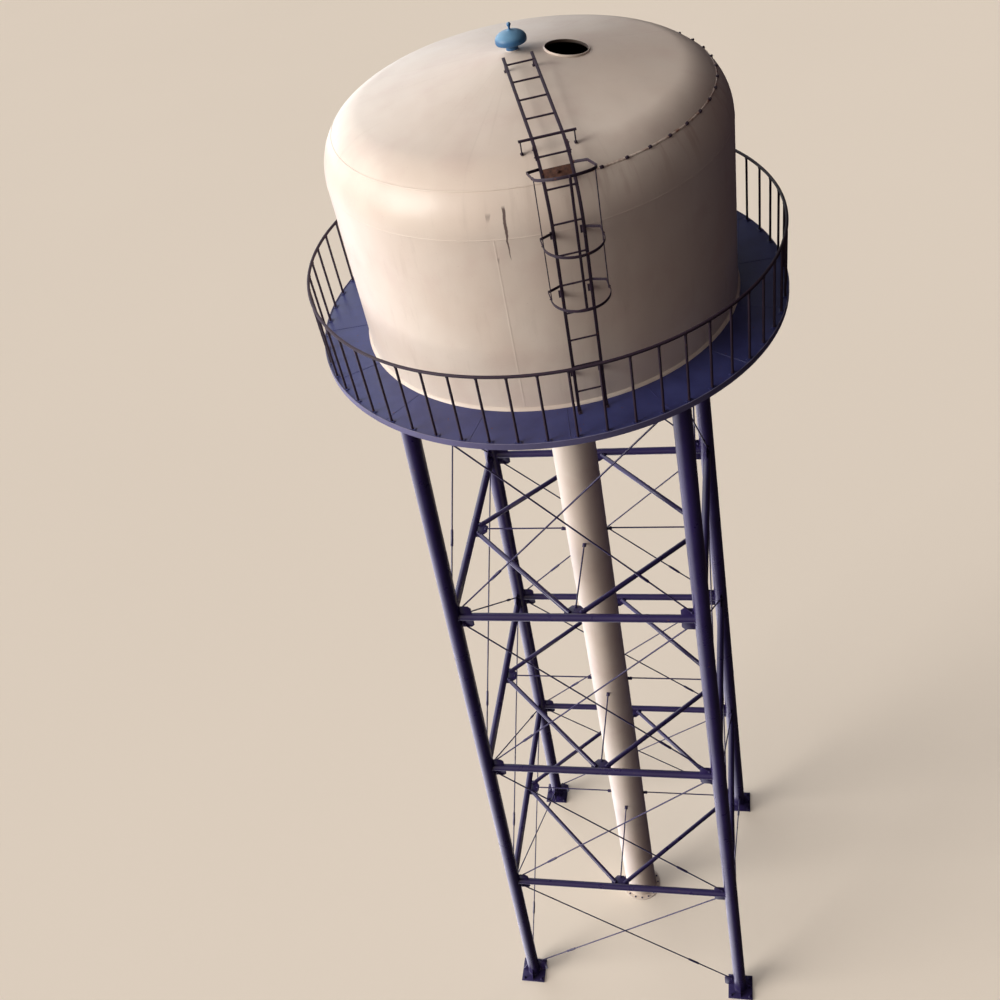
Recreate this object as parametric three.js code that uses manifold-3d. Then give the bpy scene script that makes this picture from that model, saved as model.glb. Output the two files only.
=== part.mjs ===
import * as THREE from "three";
import { mergeVertices } from "three/addons/utils/BufferGeometryUtils.js";
import Module from "manifold-3d";

// Elevated water tower: a cream steel tank with a round shoulder and a low cone roof, a blue
// balcony with a handrail, a central riser pipe and four leaning tube columns braced by struts,
// plan bracing and crossed sway rods. Millimetres, +Z up, front towards -Y, origin on the ground
// at the middle of the four feet.

const { degToRad, radToDeg } = THREE.MathUtils;

// Columns
const FOOT_HALF = 2493;
const DECK_HALF = 1946;
const DECK_Z = 17884;
const COLUMN_R = 136.5;
const COLUMN_SIDES = 20;
const COLUMN_FLAT = COLUMN_R * Math.cos(Math.PI / COLUMN_SIDES);
const BASE_SIZE = 560;
const BASE_T = 38;
const BASE_FIN_H = 260;
const BASE_FIN_TOE = 40;
const BASE_FIN_INSET = 20;

// Bracing of the trestle
const STRUT_LEVELS = [4301, 8592, 12946];
const STRUT_R = 70.5;
const STRUT_SIDES = 12;
const BRACE_R = 44.5;
const BRACE_SIDES = 6;
const ROD_R = 14;
const ROD_SIDES = 4;
const ROD_FOOT_Z = 330;
const ROD_TOP_Z = 17330;
const ROD_TRIM = 250;
const GUSSET_T = 14;
const GUSSET_REACH = 210;
const GUSSET_HALF_H = 250;
const END_GUSSET_HALF_H = 200;
const MID_PLATE_LENGTH = 380;
const MID_PLATE_REACH = 210;
const MID_PLATE_SEAT = 15;

// Riser pipe
const RISER_R = 370;
const RISER_WALL = 14;
const RISER_SIDES = 24;
const FLANGE_R = 480;
const FLANGE_T = 25;
const LUG_W = 70;
const LUG_LENGTH = 90;
const LUG_T = 12;

// Tank
const TANK_R = 2743;
const PLATE = 14;
const SHELL_SIDES = 48;
const WALL_BELOW_DECK = 150;
const WALL_BOTTOM_Z = DECK_Z - WALL_BELOW_DECK;
const WALL_TOP_Z = 20404;
const BOWL_DEPTH = TANK_R / 2;
const BOWL_STEPS = 7;
const SHOULDER_R = 774;
const SHOULDER_STEPS = 5;
const ROOF_EDGE_STEPS = 4;
const ROOF_SLOPE = degToRad(10.6);
const SEAM_ANGLE = degToRad(43);

// Roof fittings
const MANHOLE_R = 280;
const MANHOLE_SIDES = 24;
const MANHOLE_FROM_AXIS = 685;
const MANHOLE_AZIMUTH = degToRad(13);
const MANHOLE_RIM = 14;
const VENT_NECK_R = 80;
const VENT_CAP_R = 203;
const VENT_LIP_R = 186;
const VENT_SHOULDER_R = 162;
const VENT_CROWN_R = 92;
const VENT_STEM_R = 16;
const VENT_KNOB_R = 27;
const VENT_KNOB_TIP_R = 16;
const VENT_SIDES = 16;

// Heights over the roof's apex, from the cap's lip to the tip of its knob
const VENT_LIP = 76;
const VENT_EDGE = [90, 120];
const VENT_SHOULDER = 180;
const VENT_CROWN = 218;
const VENT_STEM = [230, 278];
const VENT_KNOB = [288, 308];
const VENT_TIP = [322, 326];

// Balcony
const DECK_R = 3456;
const DECK_T = 12;
const LIP_UP = 12;
const LIP_DOWN = 85;
const LIP_T = 12;
const LIP_FLANGE = 60;
const BRACKETS_PER_QUARTER = 4;
const BRACKET_T = 12;
const BRACKET_DEPTH = 130;
const BRACKET_TOE = 60;

// Handrail
const RAIL_HEIGHT = 1067;
const RAIL_R = 22;
const RAIL_CIRCLE = DECK_R - 46;
const POSTS = 56;
const POST_R = 18;
const RAIL_SIDES = 6;
const POST_SIDES = 4;

// Ladder
const LADDER_AZIMUTH = degToRad(-72);
const LADDER_OFF = 150;
const STRINGER_HALF = 180;
const STRINGER_W = 40;
const STRINGER_T = 16;
const RUNG_R = 12;
const RUNG_SIDES = 6;
const RUNG_FIRST = 316;
const RUNG_STEP = 395;
const RUNG_END_GAP = 20;
const WALL_LADDER_END = degToRad(63);
const WALL_LADDER_STEPS = 7;
const ROOF_LADDER_STEPS = 3;
const ROOF_RUNG_OUT = 2170;
const ROOF_RUNG_STEP = 388;
const ROOF_RUNGS = 5;
const ROOF_LADDER_TOP = 450;
const TOP_FOOT_OUT = 480;
const SUPPORT_BAR_HALF = 340;
const SUPPORT_BAR_R = 16;
const FOOT_W = 44;
const WALL_BRACKET_HEIGHTS = [514, 1700, 2490];
const BRACKET_BAR_T = 12;
const LADDER_PLATE_ANGLE = degToRad(45.5);
const LADDER_PLATE_H = 125;
const LADDER_PLATE_T = 10;

// Cage
const HOOP_HALF = 355;
const HOOP_FRONT = 3520;
const HOOP_FLARE = 75;
const HOOP_H = 40;
const HOOP_T = 10;
const HOOP_STEPS = 14;
const HOOP_LEVELS = [19777, 20477];
const TOP_HOOP_ANGLE = degToRad(50);
const TOP_HOOP_TILT = degToRad(18);
const TOP_HOOP_REACH = 990;
const CAGE_BAR_W = 32;
const CAGE_BAR_INSET = 14;
const CAGE_SIDE_BAR_OUT = 3125;

// Clearance between pieces that touch, and how far fused pieces run into each other
const FIT = 0.4;
const HALF_SEAM = degToRad(0.004);
const FUSE = 2;

// Sizes of cutting bodies, larger than anything they cut
const CUT_WIDTH = 9000;
const CUT_HEIGHT = 1000;
const CUT_DEPTH = 200;
const CUT_SPREAD = 0.2;

const CREAM = { color: 0xd8c9b0, roughness: 0.35, metalness: 0.0 };
const BLUE = { color: 0x37345f, roughness: 0.4, metalness: 0.0 };
const DARK = { color: 0x2b2138, roughness: 0.5, metalness: 0.0 };
const CAP_BLUE = { color: 0x2f6b9c, roughness: 0.4, metalness: 0.0 };
const RUST = { color: 0x5a3a30, roughness: 0.8, metalness: 0.0 };

const CORNERS = [
  ["front_left", -1, -1],
  ["front_right", 1, -1],
  ["back_left", -1, 1],
  ["back_right", 1, 1],
];

// Quarters of the round pieces: name and first azimuth
const QUARTERS = [
  ["front_left", -Math.PI],
  ["front_right", -Math.PI / 2],
  ["back_right", 0],
  ["back_left", Math.PI / 2],
];

// Faces of the trestle: name and the turn about Z that brings the front face to it
const FACES = [
  ["front", 0],
  ["right", Math.PI / 2],
  ["back", Math.PI],
  ["left", -Math.PI / 2],
];

const UP = new THREE.Vector3(0, 0, 1);

const wasm = await Module();
wasm.setup();

const tower = new THREE.Group();

// Solids

function signedVolume(positions, indices) {
  let sum = 0;
  const a = new THREE.Vector3();
  const b = new THREE.Vector3();
  const c = new THREE.Vector3();
  for (let i = 0; i < indices.length; i += 3) {
    a.fromArray(positions, indices[i] * 3);
    b.fromArray(positions, indices[i + 1] * 3);
    c.fromArray(positions, indices[i + 2] * 3);
    sum += a.dot(b.cross(c)) / 6;
  }
  return sum;
}

function solid(geometry) {
  const bare = geometry.clone();
  bare.deleteAttribute("normal");
  bare.deleteAttribute("uv");
  const merged = mergeVertices(bare, 1e-3);
  const positions = Float32Array.from(merged.attributes.position.array);
  const indices = Uint32Array.from(merged.index.array);
  if (signedVolume(positions, indices) < 0) {
    indices.reverse();
  }
  const kept = [];
  for (let i = 0; i < indices.length; i += 3) {
    const [p, q, r] = [indices[i], indices[i + 1], indices[i + 2]];
    if (p !== q && q !== r && r !== p) {
      kept.push(p, q, r);
    }
  }
  const mesh = new wasm.Mesh({
    numProp: 3,
    vertProperties: positions,
    triVerts: Uint32Array.from(kept),
  });
  return new wasm.Manifold(mesh);
}

function union(solids) {
  return solids.reduce((joined, next) => joined.add(next));
}

function without(body, cutters) {
  return cutters.reduce((left, cutter) => left.subtract(cutter), body);
}

function place(name, body, look) {
  const mesh = body.getMesh();
  const geometry = new THREE.BufferGeometry();
  geometry.setAttribute("position", new THREE.BufferAttribute(mesh.vertProperties, 3));
  geometry.setIndex(new THREE.BufferAttribute(mesh.triVerts, 1));
  geometry.computeVertexNormals();
  const piece = new THREE.Mesh(geometry, new THREE.MeshStandardMaterial(look));
  piece.name = name;
  tower.add(piece);
}

// A straight bar of polygon section from one point to another
function bar(from, to, radius, sides) {
  const length = from.distanceTo(to);
  const geometry = new THREE.CylinderGeometry(radius, radius, length, sides);
  geometry.rotateY(Math.PI / sides);
  const turn = new THREE.Quaternion().setFromUnitVectors(
    new THREE.Vector3(0, 1, 0),
    to.clone().sub(from).normalize(),
  );
  geometry.applyQuaternion(turn);
  const middle = from.clone().add(to).multiplyScalar(0.5);
  geometry.translate(middle.x, middle.y, middle.z);
  return solid(geometry);
}

function block(sizeX, sizeY, sizeZ, x, y, z, turnZ = 0) {
  const geometry = new THREE.BoxGeometry(sizeX, sizeY, sizeZ);
  geometry.rotateZ(turnZ);
  geometry.translate(x, y, z);
  return solid(geometry);
}

// A body of revolution about the Z axis from an outline of (radius, height) points
function revolve(outline, sides) {
  const points = outline.map(([r, z]) => new THREE.Vector2(r, z));
  const first = points[0];
  if (first.x > 0 || points[points.length - 1].x > 0) {
    points.push(first.clone());
  }
  const geometry = new THREE.LatheGeometry(points, sides);
  geometry.rotateX(Math.PI / 2);
  return solid(geometry);
}

function extrude(outline, depth) {
  const shape = new THREE.Shape(outline.map(([x, y]) => new THREE.Vector2(x, y)));
  return new THREE.ExtrudeGeometry(shape, { depth, bevelEnabled: false });
}

// An upright plate from an outline of (distance out, height) points, facing across an azimuth
function uprightPlate(outline, thickness, azimuth) {
  const geometry = extrude(outline, thickness);
  geometry.translate(0, 0, -thickness / 2);
  geometry.rotateX(Math.PI / 2);
  geometry.rotateZ(azimuth);
  return geometry;
}

// Points on an arc about a centre, from one angle to another
function arc(radius, from, to, steps, centre = [0, 0]) {
  const points = [];
  for (let i = 0; i <= steps; i += 1) {
    const angle = from + ((to - from) * i) / steps;
    points.push([centre[0] + radius * Math.cos(angle), centre[1] + radius * Math.sin(angle)]);
  }
  return points;
}

// A flat ring sector between two radii and two azimuths, from one height up
function sector(inner, outer, from, to, bottom, height) {
  const steps = Math.ceil(((to - from) / (2 * Math.PI)) * SHELL_SIDES);
  const outline = [...arc(outer, from, to, steps), ...arc(inner, to, from, steps)];
  const geometry = extrude(outline, height);
  geometry.translate(0, 0, bottom);
  return solid(geometry);
}

// Half the distance between column axes at a height
function halfSpread(z) {
  return FOOT_HALF - ((FOOT_HALF - DECK_HALF) * z) / DECK_Z;
}

// The tank's bowl: an elliptical arc from the edge of the riser's hole out to the wall
function bowlArc(grow) {
  const points = [];
  const start = Math.asin((RISER_R - RISER_WALL) / (TANK_R + grow));
  for (let i = 0; i <= BOWL_STEPS; i += 1) {
    const angle = start + (Math.PI / 2 - start) * (i / BOWL_STEPS);
    const r = (TANK_R + grow) * Math.sin(angle);
    const z = WALL_BOTTOM_Z - FIT - (BOWL_DEPTH + grow) * Math.cos(angle);
    points.push([r, z]);
  }
  return points;
}

const tankKeepOut = revolve(
  [
    [0, bowlArc(FIT)[0][1]],
    ...bowlArc(FIT),
    [TANK_R + FIT, DECK_Z + CUT_DEPTH],
    [0, DECK_Z + CUT_DEPTH],
  ],
  SHELL_SIDES,
);

// Columns that end under the balcony against the bowl, on base plates with two fins each

function columnBar(sx, sy, radius) {
  const [from, to] = [BASE_T / 2, DECK_Z + CUT_DEPTH].map(
    (z) => new THREE.Vector3(sx * halfSpread(z), sy * halfSpread(z), z),
  );
  return bar(from, to, radius, COLUMN_SIDES);
}

const columnKeepOut = CORNERS.map(([, sx, sy]) => columnBar(sx, sy, COLUMN_R + 2 * FIT));
const underDeckZ = DECK_Z - DECK_T - FIT;
const aboveDeck = block(CUT_WIDTH, CUT_WIDTH, CUT_HEIGHT, 0, 0, underDeckZ + CUT_HEIGHT / 2);

function belowHeight(z) {
  return block(CUT_WIDTH, CUT_WIDTH, CUT_HEIGHT, 0, 0, z - CUT_HEIGHT / 2);
}

const finReach = BASE_SIZE / 2 - BASE_FIN_INSET;
const finOutline = [
  [0, BASE_T - FUSE],
  [finReach, BASE_T - FUSE],
  [finReach, BASE_T + BASE_FIN_TOE],
  [COLUMN_R, BASE_T + BASE_FIN_H],
  [0, BASE_T + BASE_FIN_H],
];

for (const [corner, sx, sy] of CORNERS) {
  const x = sx * FOOT_HALF;
  const y = sy * FOOT_HALF;
  const fins = [Math.atan2(0, sx), Math.atan2(sy, 0)].map((azimuth) =>
    solid(uprightPlate(finOutline, GUSSET_T, azimuth).translate(x, y, 0)),
  );
  const plate = block(BASE_SIZE, BASE_SIZE, BASE_T, x, y, BASE_T / 2);
  const columnFoot = columnBar(sx, sy, COLUMN_R + 2 * FIT).subtract(belowHeight(BASE_T));
  place(`base_plate_${corner}`, without(union([plate, ...fins]), [columnFoot]), BLUE);
  const ends = [belowHeight(BASE_T + FIT), tankKeepOut, aboveDeck];
  place(`column_${corner}`, without(columnBar(sx, sy, COLUMN_R), ends), BLUE);
}

// Sway rods: one lattice for each face, made of crossed rods between gusset plates

const faceTilt = Math.atan2(FOOT_HALF - DECK_HALF, DECK_Z);

function gussetPlate(side, z, halfHeight, grow) {
  const half = halfSpread(z);
  const lean = Math.tan(faceTilt);
  const inner = half - COLUMN_FLAT - GUSSET_REACH - grow;
  const outer = half - COLUMN_FLAT - FIT + 2 * grow;
  const high = halfHeight + grow;
  const outline = [
    [side * inner, -high],
    [side * (outer + high * lean), -high],
    [side * (outer - high * lean), high],
    [side * inner, high],
  ];
  const thick = GUSSET_T + 2 * grow;
  const geometry = extrude(outline, thick);
  geometry.translate(0, 0, -thick / 2);
  geometry.rotateX(Math.PI / 2 - faceTilt);
  geometry.translate(0, -half, z);
  return geometry;
}

const ROD_POINTS = [ROD_FOOT_Z, ...STRUT_LEVELS, ROD_TOP_Z];

function facePlates() {
  const atEnd = (z) => z === ROD_FOOT_Z || z === ROD_TOP_Z;
  return ROD_POINTS.flatMap((z) =>
    [-1, 1].map((side) => gussetPlate(side, z, atEnd(z) ? END_GUSSET_HALF_H : GUSSET_HALF_H, 0)),
  );
}

function faceRods() {
  const bars = [];
  for (let i = 0; i + 1 < ROD_POINTS.length; i += 1) {
    const [low, high] = [ROD_POINTS[i], ROD_POINTS[i + 1]];
    for (const side of [-1, 1]) {
      const from = new THREE.Vector3(side * halfSpread(low), -halfSpread(low), low);
      const to = new THREE.Vector3(-side * halfSpread(high), -halfSpread(high), high);
      const along = to.clone().sub(from).normalize();
      from.addScaledVector(along, ROD_TRIM);
      to.addScaledVector(along, -ROD_TRIM);
      bars.push(bar(from, to, ROD_R, ROD_SIDES));
    }
  }
  return bars;
}

for (const [face, turn] of FACES) {
  const plates = facePlates().map((geometry) => solid(geometry.rotateZ(turn)));
  const rods = faceRods().map((rod) => rod.rotate([0, 0, radToDeg(turn)]));
  place(`sway_rods_${face}`, without(union([...plates, ...rods]), [tankKeepOut]), BLUE);
}

// Struts between the columns, slotted at both ends over the gusset plates

function strutBar(z, turn, radius) {
  const half = halfSpread(z);
  const from = new THREE.Vector3(-half, -half, z).applyAxisAngle(UP, turn);
  const to = new THREE.Vector3(half, -half, z).applyAxisAngle(UP, turn);
  return bar(from, to, radius, STRUT_SIDES);
}

STRUT_LEVELS.forEach((z, i) => {
  const level = STRUT_LEVELS.length - i;
  for (const [face, turn] of FACES) {
    const slots = [-1, 1].map((side) =>
      solid(gussetPlate(side, z, GUSSET_HALF_H, FIT).rotateZ(turn)),
    );
    const tube = without(strutBar(z, turn, STRUT_R), [...columnKeepOut, ...slots]);
    place(`strut_${face}_${level}`, tube, BLUE);
  }
});

// Plan bracing: a diamond between the middles of the struts, with ties to lugs at the riser

STRUT_LEVELS.forEach((z, i) => {
  const level = STRUT_LEVELS.length - i;
  const half = halfSpread(z);
  const lugOut = RISER_R + 2 * FIT + LUG_LENGTH / 2;
  const pieces = [];
  for (const [, turn] of FACES) {
    const middle = new THREE.Vector3(0, -half, z).applyAxisAngle(UP, turn);
    const next = new THREE.Vector3(half, 0, z).applyAxisAngle(UP, turn);
    const lug = new THREE.Vector3(0, -lugOut, z).applyAxisAngle(UP, turn);
    const plateOut = half - STRUT_R + MID_PLATE_SEAT - MID_PLATE_REACH / 2;
    const plate = new THREE.Vector3(0, -plateOut, z).applyAxisAngle(UP, turn);
    pieces.push(bar(middle, next, BRACE_R, BRACE_SIDES));
    pieces.push(bar(middle, lug, ROD_R, ROD_SIDES));
    pieces.push(block(LUG_W, LUG_LENGTH, LUG_T, lug.x, lug.y, z, turn));
    pieces.push(block(MID_PLATE_LENGTH, MID_PLATE_REACH, GUSSET_T, plate.x, plate.y, z, turn));
  }
  const strutKeepOut = FACES.map(([, turn]) => strutBar(z, turn, STRUT_R + 2 * FIT));
  place(`plan_bracing_${level}`, without(union(pieces), strutKeepOut), BLUE);
});

// Riser pipe, open at both ends, on a flange

const riserTop = bowlArc(0)[0][1] - FIT;
place(
  "riser_pipe",
  revolve(
    [
      [RISER_R - RISER_WALL, 0],
      [FLANGE_R, 0],
      [FLANGE_R, FLANGE_T],
      [RISER_R, FLANGE_T],
      [RISER_R, riserTop],
      [RISER_R - RISER_WALL, riserTop],
    ],
    RISER_SIDES,
  ),
  CREAM,
);

// Tank bottom, with the riser's hole at its lowest point

place("tank_bottom", revolve([...bowlArc(0), ...bowlArc(-PLATE).reverse()], SHELL_SIDES), CREAM);

// Tank wall: four curved plates

for (const [quarter, start] of QUARTERS) {
  const from = start + HALF_SEAM;
  const to = start + Math.PI / 2 - HALF_SEAM;
  const height = WALL_TOP_Z - WALL_BOTTOM_Z - FIT;
  place(`tank_wall_${quarter}`, sector(TANK_R - PLATE, TANK_R, from, to, WALL_BOTTOM_Z, height), CREAM);
}

// Shoulder and roof: a round knuckle, split at a seam, that runs into a low cone

const SHOULDER_CENTRE = [TANK_R - SHOULDER_R, WALL_TOP_Z];
const ROOF_TANGENT = Math.PI / 2 - ROOF_SLOPE;

function shoulderArc(offset, from, to, steps) {
  return arc(SHOULDER_R + offset, from, to, steps, SHOULDER_CENTRE);
}

function apexHeight(offset) {
  const [r, z] = shoulderArc(offset, ROOF_TANGENT, ROOF_TANGENT, 1)[0];
  return z + r * Math.tan(ROOF_SLOPE);
}

function roofHeight(r, offset) {
  return apexHeight(offset) - r * Math.tan(ROOF_SLOPE);
}

place(
  "tank_shoulder",
  revolve(
    [
      ...shoulderArc(0, 0, SEAM_ANGLE, SHOULDER_STEPS),
      ...shoulderArc(-PLATE, SEAM_ANGLE, 0, SHOULDER_STEPS),
    ],
    SHELL_SIDES,
  ),
  CREAM,
);

function manholeCylinder(radius, below, above) {
  const geometry = new THREE.CylinderGeometry(radius, radius, below + above, MANHOLE_SIDES);
  geometry.rotateX(Math.PI / 2);
  geometry.translate(0, 0, (above - below) / 2);
  geometry.rotateY(ROOF_SLOPE);
  geometry.translate(MANHOLE_FROM_AXIS, 0, roofHeight(MANHOLE_FROM_AXIS, 0));
  geometry.rotateZ(MANHOLE_AZIMUTH);
  return solid(geometry);
}

const roofEdge = SEAM_ANGLE + FIT / SHOULDER_R;
const roofSheet = revolve(
  [
    ...shoulderArc(0, roofEdge, ROOF_TANGENT, ROOF_EDGE_STEPS),
    [0, apexHeight(0)],
    [0, apexHeight(-PLATE)],
    ...shoulderArc(-PLATE, ROOF_TANGENT, roofEdge, ROOF_EDGE_STEPS),
  ],
  SHELL_SIDES,
);
const rim = manholeCylinder(MANHOLE_R + PLATE, PLATE, MANHOLE_RIM);
const manhole = manholeCylinder(MANHOLE_R, CUT_DEPTH, CUT_DEPTH);
place("roof", without(roofSheet.add(rim), [manhole]), CREAM);

// Vent: a mushroom cap on a neck at the apex

const apex = apexHeight(0);
place(
  "roof_vent",
  revolve(
    [
      [0, apex + 2 * FIT],
      [VENT_NECK_R, roofHeight(VENT_NECK_R, 0) + 2 * FIT],
      [VENT_NECK_R, apex + VENT_EDGE[0]],
      [VENT_LIP_R, apex + VENT_LIP],
      [VENT_CAP_R, apex + VENT_EDGE[0]],
      [VENT_CAP_R, apex + VENT_EDGE[1]],
      [VENT_SHOULDER_R, apex + VENT_SHOULDER],
      [VENT_CROWN_R, apex + VENT_CROWN],
      [VENT_STEM_R, apex + VENT_STEM[0]],
      [VENT_STEM_R, apex + VENT_STEM[1]],
      [VENT_KNOB_R, apex + VENT_KNOB[0]],
      [VENT_KNOB_R, apex + VENT_KNOB[1]],
      [VENT_KNOB_TIP_R, apex + VENT_TIP[0]],
      [0, apex + VENT_TIP[1]],
    ],
    VENT_SIDES,
  ),
  CAP_BLUE,
);

// Balcony deck: four quarters of floor plate with an edge channel and brackets underneath

function deckBracket(azimuth) {
  const inner = TANK_R + 2 * FIT;
  const outer = DECK_R - LIP_T + FUSE;
  const top = DECK_Z - DECK_T + FUSE;
  const outline = [
    [inner, top],
    [inner, DECK_Z - BRACKET_DEPTH],
    [inner + BRACKET_TOE, DECK_Z - BRACKET_DEPTH],
    [outer, DECK_Z - LIP_DOWN + FUSE],
    [outer, top],
  ];
  return solid(uprightPlate(outline, BRACKET_T, azimuth));
}

for (const [quarter, start] of QUARTERS) {
  const from = start + HALF_SEAM;
  const to = start + Math.PI / 2 - HALF_SEAM;
  const lipBottom = DECK_Z - LIP_DOWN;
  const pieces = [
    sector(TANK_R + FIT, DECK_R - LIP_T / 2, from, to, DECK_Z - DECK_T, DECK_T),
    sector(DECK_R - LIP_T, DECK_R, from, to, lipBottom, LIP_DOWN + LIP_UP),
    sector(DECK_R - LIP_FLANGE, DECK_R - LIP_T / 2, from, to, lipBottom, LIP_T),
  ];
  const bracketStep = Math.PI / 2 / BRACKETS_PER_QUARTER;
  for (let i = 0; i < BRACKETS_PER_QUARTER; i += 1) {
    pieces.push(deckBracket(start + (i + 0.5) * bracketStep));
  }
  place(`balcony_deck_${quarter}`, union(pieces), BLUE);
}

// Handrail: four lengths of top rail, each on its posts

const postStep = (2 * Math.PI) / POSTS;
const railZ = DECK_Z + RAIL_HEIGHT - RAIL_R;

class RailArc extends THREE.Curve {
  constructor(from, to) {
    super();
    this.from = from;
    this.to = to;
  }

  getPoint(t) {
    const angle = this.from + (this.to - this.from) * t;
    return new THREE.Vector3(RAIL_CIRCLE * Math.cos(angle), RAIL_CIRCLE * Math.sin(angle), railZ);
  }
}

const railSection = new THREE.Shape(
  arc(RAIL_R, 0, 2 * Math.PI, RAIL_SIDES)
    .slice(0, RAIL_SIDES)
    .map(([x, y]) => new THREE.Vector2(x, y)),
);

for (const [quarter, start] of QUARTERS) {
  const from = start + postStep / 2;
  const rail = new THREE.ExtrudeGeometry(railSection, {
    steps: POSTS / 4,
    bevelEnabled: false,
    extrudePath: new RailArc(from + HALF_SEAM, from + Math.PI / 2 - HALF_SEAM),
  });
  const pieces = [solid(rail)];
  for (let i = 1; i <= POSTS / 4; i += 1) {
    const azimuth = start + i * postStep;
    const foot = new THREE.Vector3(RAIL_CIRCLE, 0, DECK_Z + FIT).applyAxisAngle(UP, azimuth);
    pieces.push(bar(foot, foot.clone().setZ(railZ), POST_R, POST_SIDES));
  }
  place(`handrail_${quarter}`, union(pieces), DARK);
}

// Ladder: two flat stringers on a line parallel to the wall, shoulder and roof. Its pieces are
// drawn in the plane of (distance out, height) and turned to the ladder's azimuth.

const LADDER_R = SHOULDER_R + LADDER_OFF;
const LADDER_OUT = TANK_R + LADDER_OFF;
const HALF_T = STRINGER_T / 2;

function toLadder(geometry) {
  geometry.rotateX(Math.PI / 2);
  geometry.rotateZ(LADDER_AZIMUTH);
  return solid(geometry);
}

function ladderArc(offset, from, to, steps) {
  return arc(LADDER_R + offset, from, to, steps, SHOULDER_CENTRE);
}

// A point of the ladder's line at a length from its foot, on the wall or around the shoulder
function ladderPoint(along) {
  const straight = WALL_TOP_Z - DECK_Z;
  if (along <= straight) {
    return [LADDER_OUT, DECK_Z + along];
  }
  const angle = (along - straight) / LADDER_R;
  return ladderArc(0, angle, angle, 1)[0];
}

function ladderRoofPoint(out, offset) {
  const [r, z] = ladderArc(offset, ROOF_TANGENT, ROOF_TANGENT, 1)[0];
  return [out, z + (r - out) * Math.tan(ROOF_SLOPE)];
}

function stringers(outline) {
  return [-1, 1].map((side) => {
    const geometry = extrude(outline, STRINGER_W);
    geometry.translate(0, 0, side * STRINGER_HALF - STRINGER_W / 2);
    return toLadder(geometry);
  });
}

function rung([out, z], half, radius) {
  const geometry = new THREE.CylinderGeometry(radius, radius, 2 * half, RUNG_SIDES);
  geometry.rotateX(Math.PI / 2);
  geometry.translate(out, z, 0);
  return toLadder(geometry);
}

function wallBracket(height, side) {
  const reach = LADDER_OUT - TANK_R - 2 * FIT;
  const geometry = new THREE.BoxGeometry(reach, STRINGER_W, BRACKET_BAR_T);
  geometry.translate(LADDER_OUT - reach / 2, DECK_Z + height, side * STRINGER_HALF);
  return toLadder(geometry);
}

const wallLadder = stringers([
  [LADDER_OUT - HALF_T, DECK_Z + FIT],
  [LADDER_OUT + HALF_T, DECK_Z + FIT],
  ...ladderArc(HALF_T, 0, WALL_LADDER_END, WALL_LADDER_STEPS),
  ...ladderArc(-HALF_T, WALL_LADDER_END, 0, WALL_LADDER_STEPS),
]);
const wallLadderLength = WALL_TOP_Z - DECK_Z + LADDER_R * WALL_LADDER_END;
for (let along = RUNG_FIRST; along < wallLadderLength - RUNG_END_GAP; along += RUNG_STEP) {
  wallLadder.push(rung(ladderPoint(along), STRINGER_HALF, RUNG_R));
}
for (const height of WALL_BRACKET_HEIGHTS) {
  wallLadder.push(wallBracket(height, -1), wallBracket(height, 1));
}
const wallKeepOut = sector(
  TANK_R - CUT_DEPTH,
  TANK_R + FIT,
  LADDER_AZIMUTH - CUT_SPREAD,
  LADDER_AZIMUTH + CUT_SPREAD,
  DECK_Z,
  WALL_TOP_Z - DECK_Z + CUT_DEPTH,
);
place("wall_ladder", without(union(wallLadder), [wallKeepOut]), DARK);

// Roof ladder, whose lowest rung is a wide support bar with feet at both ends

function roofFoot(out, side) {
  const [, top] = ladderRoofPoint(out, 0);
  const bottom = roofHeight(out, 0);
  const geometry = new THREE.BoxGeometry(FOOT_W, top - bottom, BRACKET_BAR_T);
  geometry.translate(out, (top + bottom) / 2, side);
  return toLadder(geometry);
}

const roofKeepOut = revolve(
  [
    ...shoulderArc(2 * FIT, 0, ROOF_TANGENT, SHOULDER_STEPS + ROOF_EDGE_STEPS),
    [0, apexHeight(2 * FIT)],
    [0, WALL_TOP_Z],
  ],
  SHELL_SIDES,
);

const joint = WALL_LADDER_END + FIT / LADDER_R;
const roofLadder = stringers([
  ...ladderArc(HALF_T, joint, ROOF_TANGENT, ROOF_LADDER_STEPS),
  ladderRoofPoint(ROOF_LADDER_TOP, HALF_T),
  ladderRoofPoint(ROOF_LADDER_TOP, -HALF_T),
  ...ladderArc(-HALF_T, ROOF_TANGENT, joint, ROOF_LADDER_STEPS),
]);
roofLadder.push(rung(ladderRoofPoint(ROOF_RUNG_OUT, 0), SUPPORT_BAR_HALF, SUPPORT_BAR_R));
for (let i = 1; i < ROOF_RUNGS; i += 1) {
  const out = ROOF_RUNG_OUT - i * ROOF_RUNG_STEP;
  roofLadder.push(rung(ladderRoofPoint(out, 0), STRINGER_HALF, RUNG_R));
}
for (const side of [-1, 1]) {
  roofLadder.push(roofFoot(ROOF_RUNG_OUT, side * (SUPPORT_BAR_HALF - FOOT_W / 2)));
  roofLadder.push(roofFoot(TOP_FOOT_OUT, side * STRINGER_HALF));
}
place("roof_ladder", without(union(roofLadder), [roofKeepOut]), DARK);

// A small rusted plate between the stringers at the shoulder

const plateWidth = 2 * STRINGER_HALF - STRINGER_W - 2 * FIT;
const ladderPlate = new THREE.BoxGeometry(LADDER_PLATE_T, LADDER_PLATE_H, plateWidth);
const [plateOut, plateZ] = ladderArc(0, LADDER_PLATE_ANGLE, LADDER_PLATE_ANGLE, 1)[0];
ladderPlate.rotateZ(LADDER_PLATE_ANGLE);
ladderPlate.translate(plateOut, plateZ, 0);
place("ladder_plate", toLadder(ladderPlate), RUST);

// Safety cage: hoops that start at the stringers, and three upright bars

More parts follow.
